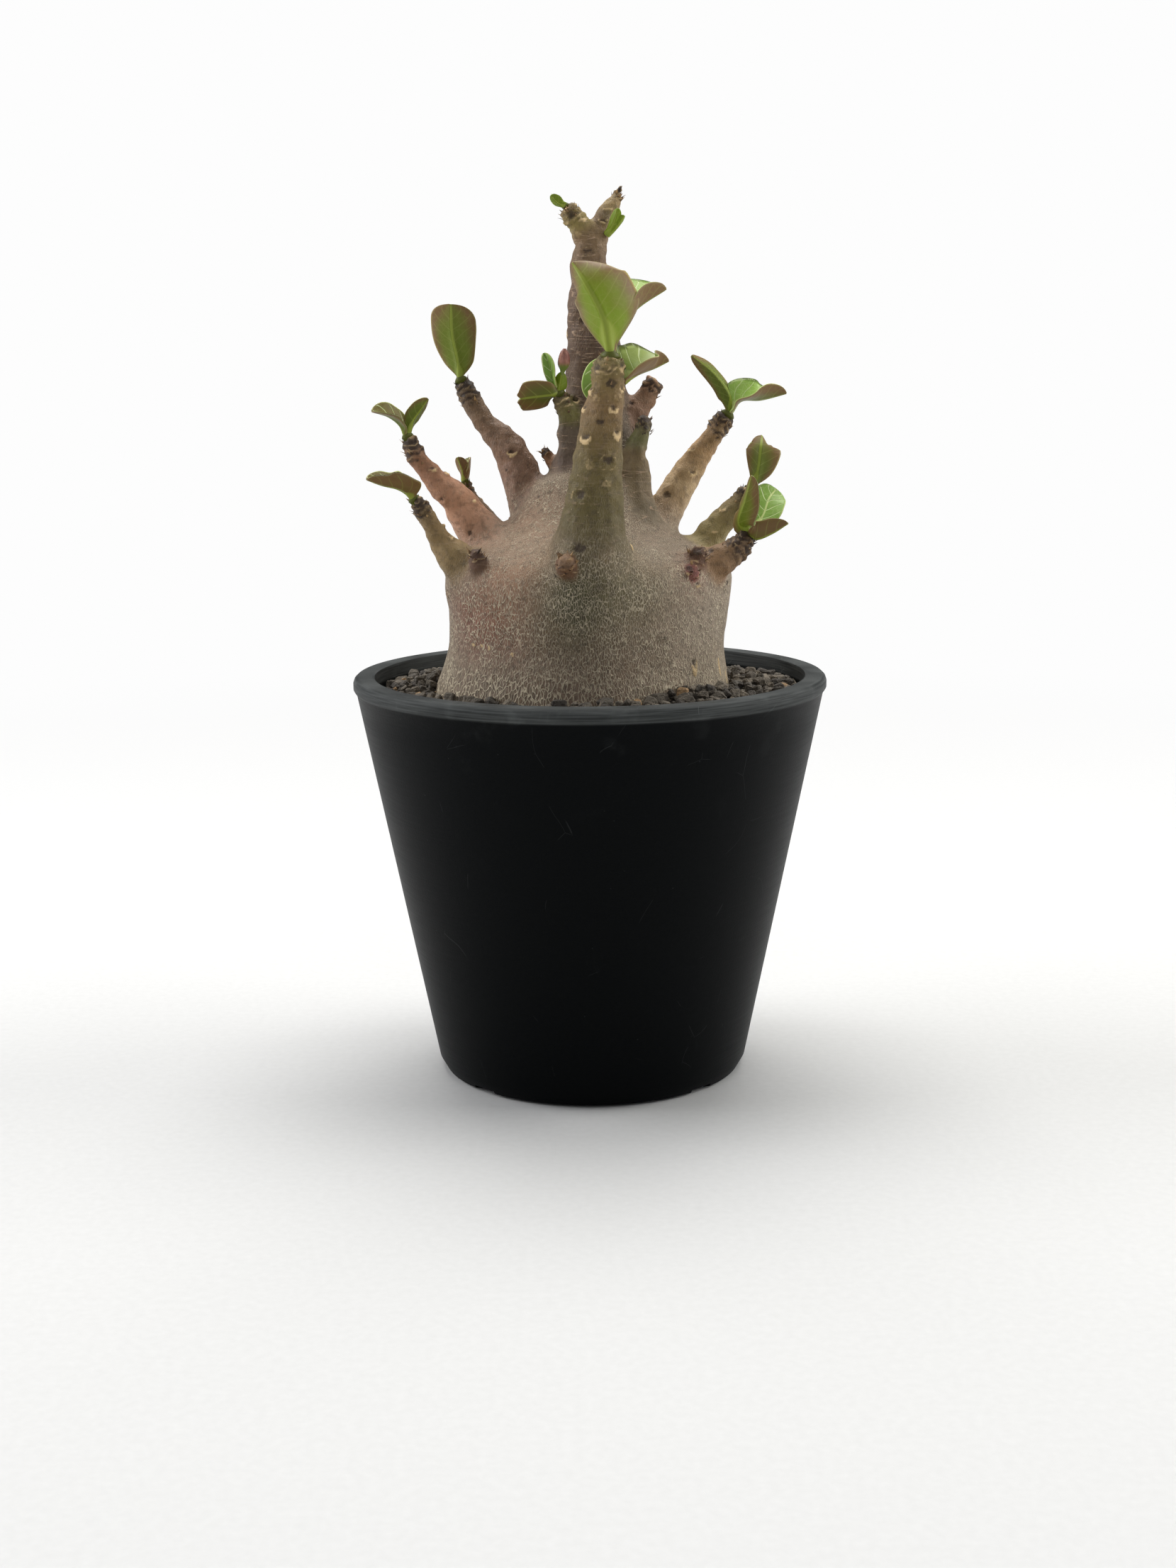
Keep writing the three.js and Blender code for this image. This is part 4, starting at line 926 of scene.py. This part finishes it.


# leaves: each gives its midrib, full width, where along it is widest, the way its upper side faces at
# both ends and how far its left and right halves fold up, as seen from above with the tip ahead;
# left is the share of the width left of the midrib, taper above 1 narrows the base, blunt above 2
# rounds the end more, end is the share of the width that a cut-off end keeps, a notch in it has a
# depth and a place, blush is how brown its underside is, and bright how yellow the green, which
# on the underside is painted light shining through the blade
leafBlades = {
    "leaves_front": [
        {"rib": [[3.5, -38.2, 190.9], [-0.2, -38.9, 198], [-3.4, -35.8, 203.1]], "width": 21.8,
         "widest": 0.36, "top": [[0.1, 0.93, 0.35], [0.7, 1.05, -0.1]], "fold": [57, 41], "blush": 0.6,
         "bright": 1, "left": 0.55},
        {"rib": [[7.4, -31.5, 188.5], [11.7, -28.1, 193.3], [18.5, -24.9, 197.4]], "width": 15.6,
         "widest": 0.64, "top": [[-0.4, -0.8, 0.7], [-0.35, 0.1, 0.65]], "fold": [46, 47], "blush": 0.8,
         "bright": 0.4, "left": 0.66},
    ],
    "leaves_trunk_left": [
        {"rib": [[-9.2, -3.7, 172.9], [-14.7, -4, 172.2], [-17.4, -5.1, 171.7]], "width": 8.4,
         "widest": 0.57, "top": [[-0.1, 0.9, 0.5], [-0.1, 0.9, 0.3]], "fold": [21, 22], "blush": 0.62,
         "bright": 0.15, "left": 0.45, "blunt": 2.6, "end": 0.5, "notch": [0.8, 0]},
        {"rib": [[-8.4, -2.4, 175.8], [-9.2, -2.2, 179.3], [-10.8, -1.6, 182.8]], "width": 4,
         "widest": 0.66, "top": [[-0.7, -0.6, 0.1], [-0.2, -0.9, 0.5]], "fold": [40, 40], "blush": 0.1,
         "bright": 0.9},
        {"rib": [[-6.9, -2.7, 175], [-6.3, -2.7, 178.2]], "width": 3.8, "widest": 0.45,
         "top": [[0, 1, 0], [0, 1, 0]], "fold": [24, 24], "blush": 0, "bright": 0.8},
    ],
    "leaf_upper_left": [
        {"rib": [[-32.4, 7.7, 180.5], [-33.8, 7.2, 187.9], [-33.9, 5.1, 194.9]], "width": 12.3,
         "widest": 0.78, "top": [[0.1, 1, 0.1], [0.25, 0.96, 0.32]], "fold": [14, 17], "blush": 0.5,
         "bright": 0.5, "blunt": 2.3},
    ],
    "leaves_left": [
        {"rib": [[-45.8, -8, 165.8], [-48.6, -9.6, 168], [-52.7, -11.6, 169.2]], "width": 7, "widest": 0.66,
         "top": [[0.5, -0.3, 0.8], [0.2, -0.45, 0.95]], "fold": [32, 32], "blush": 0.5, "bright": 0.22},
        {"rib": [[-43.5, -6.6, 166.7], [-41.8, -6.2, 169], [-39.4, -6, 172.1]], "width": 5, "widest": 0.58,
         "top": [[-0.4, 0.9, 0.2], [-0.67, 0.7, 0.36]], "fold": [22, 20], "blush": 0.45, "bright": 0.35},
    ],
    "leaf_low_left": [
        {"rib": [[-43.8, -20.7, 150.2], [-45.9, -23.1, 151.5], [-49.3, -24.8, 152.3],
                 [-52.8, -27.2, 153.6]], "width": 9.8, "widest": 0.38,
         "top": [[0.63, 0.47, 0.6], [0.2, 0.07, 0.8]], "fold": [41, 48], "blush": 0.85, "bright": 0.2},
    ],
    "leaves_small_left": [
        {"rib": [[-31.9, 9.6, 153.6], [-33.2, 9, 157]], "width": 3.6, "widest": 0.7,
         "top": [[0.4, 1, 0.2], [0.4, 1, 0.2]], "fold": [24, 24], "blush": 1, "bright": 0.2},
        {"rib": [[-30.8, 11, 153.4], [-30.2, 12, 156.8]], "width": 4.4, "widest": 0.7,
         "top": [[-0.8, -0.4, 0.3], [-0.8, -0.4, 0.4]], "fold": [30, 30], "blush": 1, "bright": 0.2},
    ],
    "leaves_upper_right": [
        {"rib": [[35.7, 11.6, 171.7], [31.9, 10.3, 177.3], [26.2, 8.7, 181.9]], "width": 6.2,
         "widest": 0.42, "top": [[-0.83, 0.62, 0.23], [-0.52, 0.8, -0.18]], "fold": [32, 34], "blush": 0.5,
         "bright": 0.3, "left": 0.57},
        {"rib": [[38.7, 11.2, 170.8], [43.8, 10.5, 171.1], [50.3, 10.4, 172.4]], "width": 12.6,
         "widest": 0.37, "top": [[-0.64, -0.69, 0.43], [-0.06, 0.2, 0.58]], "fold": [36, 37], "blush": 0.6,
         "bright": 0.4, "left": 0.45, "taper": 1.1},
    ],
    "leaf_right": [
        {"rib": [[42, -5, 153.7], [42.7, -5, 159.3], [43.2, -2, 162.3]], "width": 9.4, "widest": 0.64,
         "top": [[0.24, 1, 0.2], [0.05, 0.87, 0.44]], "fold": [20, 30], "blush": 0.62, "bright": 0.25,
         "left": 0.57, "taper": 1.2, "blunt": 2.8, "end": 0.62, "notch": [2.4, -0.5]},
    ],
    "leaves_low_right": [
        {"rib": [[37, -16.3, 141.9], [38.1, -18.4, 147.1], [39.5, -19.7, 153.4]], "width": 9.3,
         "widest": 0.36, "top": [[0.55, 0.55, -0.34], [0.92, 0.55, -0.3]], "fold": [27, 25], "blush": 0.6,
         "bright": 0.6, "left": 0.45, "taper": 0.85, "blunt": 2.6},
        {"rib": [[42.9, -11.5, 143.2], [44.6, -8.9, 147.2], [46.5, -6.6, 149.3]], "width": 9,
         "widest": 0.45, "top": [[-0.34, -0.81, 0.42], [-0.06, -0.91, 0.17]], "fold": [14, 8], "blush": 0.3,
         "bright": 0.56, "blunt": 2.8},
        {"rib": [[41.1, -16.3, 138.3], [44.7, -17.4, 139.6], [48.4, -18.5, 141.8]], "width": 8,
         "widest": 0.4, "top": [[-0.34, 0.54, 0.62], [-0.06, 0.52, 0.79]], "fold": [55, 50], "blush": 0.8,
         "bright": 0.3},
    ],
    "leaf_crown_left": [
        {"rib": [[-6.9, 2.6, 219.2], [-8.7, 2, 220.8]], "width": 2.8, "widest": 0.6,
         "top": [[0.3, 1, 0.3], [0.3, 1, 0.3]], "fold": [16, 16], "blush": 0, "bright": 0.7},
    ],
    "leaves_back": [
        {"rib": [[2.6, 40, 175.4], [3, 45, 177.8], [3.4, 51.4, 178.6]], "width": 8, "widest": 0.64,
         "top": [[0, -0.5, 0.9], [0, 0, 1]], "fold": [26, 26], "blush": 0.6, "bright": 0.4},
        {"rib": [[0.6, 39.6, 172.6], [-0.6, 43.6, 171.4], [-1.4, 48.6, 167.6]], "width": 6.4,
         "widest": 0.62, "top": [[0, 0.2, 1], [0, 0.7, 0.7]], "fold": [22, 22], "blush": 0.6,
         "bright": 0.4},
    ],
    # these spring from the side of a branch
    "leaf_front_right": [
        {"rib": [[8.3, -31.9, 176.2], [11.5, -31.6, 178.1], [15.4, -29, 179.4], [19, -28.5, 180.8]],
         "width": 14.6, "widest": 0.38, "top": [[-0.34, -0.63, 0.88], [0.27, 0.28, 0.63]], "fold": [40, 41],
         "blush": 1, "bright": 0.3, "left": 0.58, "taper": 0.7},
    ],
    "leaf_front_left": [
        {"rib": [[4.3, -29.4, 180], [3.4, -27.8, 179.2], [2.4, -26.6, 175.4], [2.6, -26.8, 171]],
         "width": 8, "widest": 0.6, "top": [[-0.3, -0.5, 0.8], [-0.2, -1, 0.1]], "fold": [16, 16],
         "blush": 0.4, "bright": 0.6},
    ],
    "leaves_crown_right": [
        {"rib": [[5, 2.8, 211.4], [6.6, 1.4, 213.8], [7.8, 0.4, 217.4]], "width": 3, "widest": 0.6,
         "top": [[0.2, 1, 0.2], [0.2, 1, 0.2]], "fold": [26, 26], "blush": 0, "bright": 1},
        {"rib": [[5, 2.8, 211.4], [7.3, 1.6, 213.4], [9.2, 1, 215.8]], "width": 2.6, "widest": 0.6,
         "top": [[-0.6, 0.8, 0.2], [-0.6, 0.8, 0.2]], "fold": [26, 26], "blush": 0, "bright": 1},
    ],
}
leafBuds = {  # the branch that carries each spray, and its bud's radius and length
    "leaves_front": ("front", 2.4, 2), "leaves_trunk_left": ("stubShoot", 1.7, 2),
    "leaf_upper_left": ("upperLeft", 1.7, 1.8), "leaves_left": ("left", 1.5, 1.8),
    "leaf_low_left": ("lowLeft", 1.5, 1.6), "leaves_small_left": ("smallLeft", 1.1, 1.4),
    "leaves_upper_right": ("upperRight", 1.9, 2), "leaf_right": ("right", 1.7, 1.8),
    "leaves_low_right": ("lowRight", 1.8, 1.6), "leaf_crown_left": ("crownLeft", 1, 1.4),
    "leaves_back": ("back", 2, 2),
}
plainLeaf = {"left": 0.5, "taper": 1, "blunt": 2, "end": 0, "notch": [0, 0]}
leafForm = {
    "columns": 20, "rows": 44, "thickness": 0.46, "ribDepth": 0.75, "petiole": 0.8, "tip": 0.4, "waves": 2.5,
    "waveHeight": 0.04, "rounding": 0.3, "veinGap": 2.4, "fewestVeins": 3, "mostVeins": 8,
}
# rings of a bud, as place and girth: two in millimetres from the branch tip, then by the bud's length
budSteps = [(-1.8, 0.7), (0.3, 0.95), (0.35, 1), (0.7, 0.7), (1, 0.3)]


def leafOutline(leaf, s):  # the share of its half width that a leaf has at s along its midrib
    if s < leaf["widest"]:
        return max(math.sin(math.pi / 2 * s / leaf["widest"]), 0) ** leaf["taper"]
    fall = min((s - leaf["widest"]) / (1 - leaf["widest"]), 1) ** leaf["blunt"]
    return max(math.sqrt(1 - fall), leaf["end"])


def alongLeaf(y):  # the grid's rows crowd towards the tip, where the outline turns fastest
    return 1 - max(0.5 - y / 2, 0) ** 1.5


def leafPlace(leaf, path, across, s):  # a point of the blade, and how far it lies from the midrib
    hand = 0 if across < 0 else 1
    place, along = pathAt(path, s)
    topBase, topEnd = (np.array(top, float) for top in leaf["top"])
    up = topBase * (1 - s) + topEnd * s
    up = unit(up - along * (up @ along))
    share = (leaf["left"], 1 - leaf["left"])[hand]
    breadth = leaf["width"] * mm * share * leafOutline(leaf, s)
    reach = across * max(breadth, leafForm["tip" if s > 0.5 else "petiole"] * mm)
    rise = math.radians(leaf["fold"][hand] * (0.7 + 0.3 * abs(across)))
    sway = math.sin(leafForm["waves"] * math.tau * s + 2 * across)
    wave = leafForm["waveHeight"] * breadth * sway * across**2
    place = place + np.cross(along, up) * reach * math.cos(rise) + up * (abs(reach) * math.sin(rise) + wave)
    corner = leafForm["rounding"] * leaf["end"] * leaf["width"] * abs(across) ** 3
    notchDepth, notchPlace = leaf["notch"]
    dip = (corner + notchDepth * max(1 - 2 * abs(across - notchPlace), 0)) * min(max(4 * s - 3, 0), 1)
    return place - along * dip * mm, reach


def growLeaf(bm, given):
    leaf = {**plainLeaf, **given}
    path = [np.array(point) * mm for point in leaf["rib"]]
    ranks = sum(math.dist(*pair) for pair in zip(path, path[1:])) / (leafForm["veinGap"] * mm)
    ranks = min(max(ranks, leafForm["fewestVeins"]), leafForm["mostVeins"])
    blade = bmesh.new()
    chart = blade.loops.layers.uv.new("leafMap")
    layers = {name: blade.verts.layers.float.new(name) for name in leafLayers}
    bmesh.ops.create_grid(blade, x_segments=leafForm["columns"], y_segments=leafForm["rows"], size=1)
    for face in blade.faces:
        for loop in face.loops:
            loop[chart].uv = (loop.vert.co.x / 2 + 0.5, alongLeaf(loop.vert.co.y))
    half, ridge = [], []
    for vert in blade.verts:
        across = vert.co.x
        s = alongLeaf(vert.co.y)
        vert.co, reach = leafPlace(leaf, path, across, s)
        vert[layers["blush"]] = leaf["blush"]
        vert[layers["bright"]] = leaf["bright"]
        vert[layers["ranks"]] = ranks
        ribWidth = (0.9 - 0.5 * s) * mm
        half.append(leafForm["thickness"] * mm / 2 * (1 - 0.5 * across**6))
        ridge.append(leafForm["ribDepth"] * mm * (1 - s) ** 0.8 * math.exp(-((reach / ribWidth) ** 2)))
    blade.normal_update()
    upper = [vert.co + vert.normal * thick for vert, thick in zip(blade.verts, half)]
    lower = [vert.co - vert.normal * (thick + deep) for vert, thick, deep in zip(blade.verts, half, ridge)]
    sheet = blade.verts[:]
    made = bmesh.ops.extrude_face_region(blade, geom=blade.faces[:], use_keep_orig=True)["geom"]
    copies = [part for part in made if isinstance(part, bmesh.types.BMVert)]
    for vert, place in zip(copies, upper):
        vert.co = place
    for vert, place in zip(sheet, lower):
        vert.co = place
        vert[layers["under"]] = 1
    bmesh.ops.recalc_face_normals(blade, faces=blade.faces[:])
    mesh = bpy.data.meshes.new("blade")
    blade.to_mesh(mesh)
    blade.free()
    bm.from_mesh(mesh)
    bpy.data.meshes.remove(mesh)


def pieceName(node):  # leaf_low_left becomes leafLowLeft
    first, *rest = node.split("_")
    return first + "".join(word.capitalize() for word in rest)


def growBud(bm, branch, radius, length):  # gives the place where the leaves of a spray meet
    walk = walks[branch]
    tip, along = walk["centre"][-1] / mm, walk["along"][-1]
    sink, start, *rest = budSteps
    steps = [sink, start, *((share * length, girth) for share, girth in rest)]
    stations = [[*(tip + along * step), radius * girth] for step, girth in steps]
    growTube(bm, walkBranch(stations, 13), 14)
    for vert in bm.verts:
        vert[bm.verts.layers.float["under"]] = 1
        vert[bm.verts.layers.float["blush"]] = 0.3
    for face in bm.faces:
        for loop in face.loops:
            loop[bm.loops.layers.uv["leafMap"]].uv = (0.3, 0.5)  # plain green, off the rib and the margin
    return list(tip + along * 0.45 * length)


def growLeaves(node, blades):
    bm = bmesh.new()
    bm.loops.layers.uv.new("leafMap")
    for name in leafLayers:
        bm.verts.layers.float.new(name)
    heart = [growBud(bm, *leafBuds[node])] if node in leafBuds else []
    for blade in blades:
        growLeaf(bm, {**blade, "rib": heart + blade["rib"]})
    finishPiece(makeObject(pieceName(node), bm, leafPaint), "leaf", node)


leafPaint = leafMaterial()
for node, blades in leafBlades.items():
    growLeaves(node, blades)
print("leaves grown")

flowerBud = [  # a thin stalk and the bud on it, [x, y, z, radius]
    [-6.5, -2.6, 176.8, 0.5], [-6.2, -2.5, 178.4, 0.6], [-6, -2.4, 179.8, 1.4],
    [-5.8, -2.3, 181.4, 1.45], [-5.7, -2.2, 183, 1], [-5.6, -2.2, 183.9, 0.35],
]
bm = bmesh.new()
growTube(bm, walkBranch(flowerBud, 18), 20)
finishPiece(makeObject("flowerBud", bm, flowerMaterial()), "flower_bud", "flower_bud")


def growScales():
    draw = random.Random(dryScales["seed"])
    bm = bmesh.new()
    for name, walk in walks.items():
        if name in oldWood:
            continue
        band = dryScales["bands"].get(name, dryScales["band"])
        big = dryScales["onBuds"] if name.startswith("dry") else 1
        for k in range(round(dryScales["perMillimetre"] * band)):
            back = draw.uniform(0.05, 1) * min(band * mm, 0.45 * walk["run"][-1])
            i = int(np.searchsorted(walk["run"], walk["run"][-1] - back))
            turn = k * 2.4 + draw.uniform(-0.4, 0.4)
            out = walk["across"][i] * math.cos(turn) + walk["beside"][i] * math.sin(turn)
            place = walk["centre"][i] + out * walk["radius"][i] * 0.95
            lean = unit(out * draw.uniform(*dryScales["spread"]) * big + walk["along"][i])
            beside = unit(np.cross(walk["along"][i], out))
            length = draw.uniform(*dryScales["length"]) * mm * big
            if (place + lean * length)[2] > cadBox[1][2] - 0.3 * mm:
                continue
            width = draw.uniform(*dryScales["width"]) * mm * big
            flat = np.cross(lean, beside) * dryScales["flatness"] * width
            turnTo = Matrix((beside * width, flat, lean)).transposed().to_4x4()
            base = Matrix.Translation(Vector(place + lean * length / 2)) @ turnTo
            bmesh.ops.create_cone(
                bm, cap_ends=True, segments=6, radius1=1, radius2=0.08, depth=length, matrix=base,
            )
    noise.seed_set(dryScales["seed"])  # noise_vector draws by the clock without it
    for vert in bm.verts:
        vert.co += noise.noise_vector(vert.co / (0.6 * mm)) * dryScales["wobble"] * mm
    finishPiece(makeObject("dryScales", bm, scaleMaterial()), "bark")


growScales()
print("buds and dry scales made")


# pot
pot = {
    "height": 103, "rim": 60, "lip": 3.6, "proud": 0.7, "inner": 54.5, "foot": 39.3, "wall": 3.2, "floor": 6,
    "recess": 2.5, "footInner": 33.5, "steps": 160, "longest": 30, "sharp": 38,
    "drain": 1.9, "drill": 12, "drainRings": [(11, 3), (26, 6)],  # radius of a ring and its holes
    "notch": (7, 1.5, 4),  # width, height and how many
}


def outerWall(height):
    share = height / (pot["height"] - pot["lip"])
    return pot["foot"] + (pot["rim"] - pot["proud"] - pot["foot"]) * share


def innerWall(height):
    return min(outerWall(height) - pot["wall"], pot["inner"])


def turnPot():
    top, bottom = pot["height"], pot["height"] - pot["lip"]
    rim, foot, inner, floor = pot["rim"], pot["foot"], pot["inner"], pot["floor"]
    outline = [
        [0, pot["recess"]], [pot["footInner"] - 1, pot["recess"]], [pot["footInner"], 0], [foot - 3, 0],
        [foot - 0.9, 0.7], [outerWall(3.6), 3.6], [outerWall(bottom - 0.3), bottom - 0.3],
        [rim - 0.35, bottom + 0.1], [rim, bottom + 0.7], [rim, top - 1.5], [rim - 0.25, top - 0.75],
        [rim - 0.9, top - 0.15], [rim - 1.7, top], [inner + 0.8, top], [inner + 0.15, top - 0.2],
        [inner, top - 0.7], [inner, 91], [innerWall(9.5), 9.5], [innerWall(floor) - 2.5, floor], [0, floor],
    ]
    return turnOutline(np.array(outline) * mm, pot["steps"], pot["longest"] * mm)


def potCutters():
    bm = bmesh.new()
    hole = pot["drain"] * mm
    for radius, count in pot["drainRings"]:
        for i in range(count):
            angle = (i + 0.5) / count * math.tau
            spot = Vector((radius * math.cos(angle), radius * math.sin(angle), pot["floor"])) * mm
            bmesh.ops.create_cone(
                bm, cap_ends=True, segments=32, radius1=hole, radius2=hole, depth=pot["drill"] * mm,
                matrix=Matrix.Translation(spot),
            )
    width, height, count = pot["notch"]
    out = Matrix.Translation(Vector((pot["foot"] - 3, 0, 0)) * mm)
    size = Matrix.Diagonal((12 * mm, width * mm, 2 * height * mm, 1))
    for i in range(count):
        turn = Matrix.Rotation((i + 0.5) / count * math.tau, 4, "Z")
        bmesh.ops.create_cube(bm, size=1, matrix=turn @ out @ size)
    return makeObject("cutter", bm, smooth=False)


def makePot():
    shell = finishPiece(makeObject("potShell", turnPot(), potMaterial()), "pot", "pot")
    cutter = potCutters()
    cut = shell.modifiers.new("holes", "BOOLEAN")
    cut.operation = "DIFFERENCE"
    cut.solver = "EXACT"
    cut.object = cutter
    shell.data = bakedMesh(shell)
    shell.modifiers.clear()
    bpy.data.objects.remove(cutter)
    shell.data.set_sharp_from_angle(angle=math.radians(pot["sharp"]))


makePot()
print("pot made")


# soil: a bed, grains dropped on it and crumbs between them; heaps are x, y, reach and rise
soil = {
    "atWall": 95.6, "atCaudex": 98.2, "slope": 14, "gap": 0.3, "bedSteps": 160, "rough": (2.5, 0.5),
    "heaps": [(26, -27, 11, 2.6), (45, 2, 14, 1.8), (-41, 5, 9, 2.4), (-3, -40, 13, 0.8)],
    "grains": 1150, "grainSize": (1.2, 2.5), "crumbs": 2600, "crumbSize": (0.4, 1), "cell": 0.5, "pile": 2,
    "seed": 11, "jitter": 0.24, "bevel": 17, "sides": ((0.9, 1.4), (0.8, 1.2), (0.75, 1.05)),
}


def caudexRadius(angle, height):
    outline = np.array(caudex["outline"])
    return float(np.interp(height, outline[:, 1], outline[:, 0])) * lobedScale(angle)


def bedHeight(x, y):
    inward = min(max((pot["inner"] - math.hypot(x, y)) / soil["slope"], 0), 1)
    level = soil["atWall"] + (soil["atCaudex"] - soil["atWall"]) * inward
    for east, north, reach, rise in soil["heaps"]:
        level += rise * math.exp(-((x - east) ** 2 + (y - north) ** 2) / reach**2)
    return level


def makeBed(paint):
    bottom = pot["floor"] + soil["gap"]
    side = pot["inner"] - soil["gap"]
    outline = [
        [0, bottom], [innerWall(pot["floor"]) - 2.8, bottom], [innerWall(9.5) - 0.3, 9.8], [side, 91],
        [side, 95], *([radius, 95] for radius in np.linspace(53, 33, 16)), [20, 95], [0, 95],
    ]
    bm = turnOutline(np.array(outline) * mm, soil["bedSteps"])
    tone = bm.verts.layers.float.new("tone")
    roughSize, roughHeight = soil["rough"]
    for vert in bm.verts:
        if vert.co.z > 94 * mm:
            rough = noise.fractal(vert.co / (roughSize * mm), 1.0, 2.0, 3) * roughHeight
            vert.co.z = (bedHeight(vert.co.x / mm, vert.co.y / mm) + rough) * mm
        vert[tone] = 0.2
    finishPiece(makeObject("soilBed", bm, paint), "soil", "soil")


def dropGrains(draw, heights, count, sizes):  # each comes to rest on what already lies below it
    middle = heights.shape[0] // 2
    dropped = []
    while len(dropped) < count:
        angle = draw.uniform(0, math.tau)
        size = draw.uniform(*sizes)
        low = caudexRadius(angle, 99) + 0.45 * size
        radius = math.sqrt(draw.uniform(low * low, (pot["inner"] + 2) ** 2))
        x, y = radius * math.cos(angle) + caudexMiddle(99), radius * math.sin(angle)
        if math.hypot(x, y) + size > pot["inner"] - 0.4:
            continue
        i, j = int(x / soil["cell"]) + middle, int(y / soil["cell"]) + middle
        span = max(int(0.8 * size / soil["cell"]), 1)
        window = heights[i - span:i + span + 1, j - span:j + span + 1]
        rest = float(np.percentile(window, 70))
        if rest > bedHeight(x, y) + soil["pile"]:
            rest = bedHeight(x, y) + draw.uniform(0, 1)
        offsets = (np.arange(-span, span + 1) * soil["cell"]) ** 2
        dome = np.sqrt(np.maximum(size * size - offsets[:, None] - offsets[None], 0))
        np.maximum(window, rest + 0.55 * dome, out=window)
        dropped.append((x, y, rest + 0.3 * size, size))
    return dropped


def makeGrains(name, paint, dropped, draw):
    bm = bmesh.new()
    tone = bm.verts.layers.float.new("tone")
    jitter = soil["jitter"]
    for x, y, z, size in dropped:
        turn = Matrix.Rotation(draw.uniform(0, math.tau), 4, "Z")
        turn = turn @ Matrix.Rotation(draw.uniform(0, 3), 4, "X")
        shape = Matrix.Diagonal((*(size * draw.uniform(*span) for span in soil["sides"]), 1))
        place = Matrix.Translation(Vector((x, y, z)) * mm) @ turn @ shape
        made = bmesh.ops.create_cube(bm, size=mm, matrix=place)["verts"]
        shade = draw.random() ** 0.8 * 0.9 if draw.random() > 0.03 else 1.0  # a few are light bits of bark
        for vert in made:
            vert.co += Vector([draw.uniform(-jitter, jitter) * size * mm for _ in range(3)])
            vert[tone] = shade
    bmesh.ops.bevel(
        bm, geom=bm.edges[:] + bm.verts[:], offset=soil["bevel"], offset_type="PERCENT", affect="EDGES",
        segments=1, profile=0.5, material=-1,
    )
    finishPiece(makeObject(name, bm, paint, smooth=False), "soil")


def fillSoil():
    paint = soilMaterial()
    makeBed(paint)
    draw = random.Random(soil["seed"])
    cells = int(2 * (pot["inner"] + 3.5) / soil["cell"]) | 1  # odd, so that one lies in the middle
    steps = (np.arange(cells) - cells // 2) * soil["cell"]
    heights = np.array([[bedHeight(x, y) for y in steps] for x in steps])
    crumbs = dropGrains(draw, heights, soil["crumbs"], soil["crumbSize"])
    grains = dropGrains(draw, heights, soil["grains"], soil["grainSize"])
    makeGrains("soilCrumbs", paint, crumbs, draw)
    makeGrains("soilGrains", paint, grains, draw)


fillSoil()
print("soil filled in")


# floor, backdrop and lights
studio = {
    "floor": (190, 190, 189), "grit": (200, 200, 199), "backdrop": (253, 253, 253), "fadesOut": (0.1, 0.75),
    "floorRadius": 7.5, "backdropRadius": 7, "world": 0.21, "sky": (0.93, 0.97, 1, 1),
    "lights": [  # place, width, power, colour, all in metres and watts
        ((0, 0.4, 1.15), 1.0, 18, (1, 0.99, 0.97)),
        ((-1.0, 0.1, 0.55), 0.8, 10.5, (0.98, 0.98, 1)),
        ((1.0, 0.1, 0.55), 0.8, 10, (1, 0.99, 0.97)),
        ((0.1, -1.1, 0.8), 0.9, 1.6, (1, 1, 1)),
    ],
    "aim": (0, 0, 0.13),
}


def floorMaterial():  # runs out into the backdrop's own white
    paint = Paint("floor")
    places = paint.places()
    away = paint.node("ShaderNodeVectorMath", {"operation": "LENGTH"}, {0: places}, "Value")
    ground = paint.mix(tint(*studio["floor"]), tint(*studio["grit"]), paint.noise(places, 2, 3.0))
    paint.set(Base_Color=ground, Roughness=0.8)
    lit = Value(paint, paint.shader.outputs[0])
    white = paint.glow(tint(*studio["backdrop"]))
    paint.show(paint.node("ShaderNodeMixShader", {}, {0: away.fade(*studio["fadesOut"]), 1: lit, 2: white}))
    return paint.material


def setStage():
    bm = bmesh.new()
    bmesh.ops.create_circle(bm, cap_ends=True, segments=96, radius=studio["floorRadius"])
    makeObject("floor", bm, floorMaterial())
    bm = bmesh.new()
    bmesh.ops.create_icosphere(bm, subdivisions=4, radius=studio["backdropRadius"])
    bmesh.ops.reverse_faces(bm, faces=bm.faces[:])
    paint = Paint("backdrop")
    paint.show(paint.glow(tint(*studio["backdrop"])))
    backdrop = makeObject("backdrop", bm, paint.material)
    backdrop.visible_diffuse = False
    backdrop.visible_glossy = False
    backdrop.visible_shadow = False


def setLights():
    world = bpy.data.worlds.new("studio")
    world.use_nodes = True
    world.node_tree.nodes["Background"].inputs["Color"].default_value = studio["sky"]
    world.node_tree.nodes["Background"].inputs["Strength"].default_value = studio["world"]
    bpy.context.scene.world = world
    for place, width, power, colour in studio["lights"]:
        data = bpy.data.lights.new("softbox", "AREA")
        data.size = width
        data.energy = power
        data.color = colour
        lamp = bpy.data.objects.new("softbox", data)
        lamp.location = place
        lamp.rotation_euler = (Vector(studio["aim"]) - lamp.location).to_track_quat("-Z", "Y").to_euler()
        bpy.context.scene.collection.objects.link(lamp)
    bpy.context.scene.view_settings.view_transform = "Standard"


setStage()
setLights()
print("studio set")
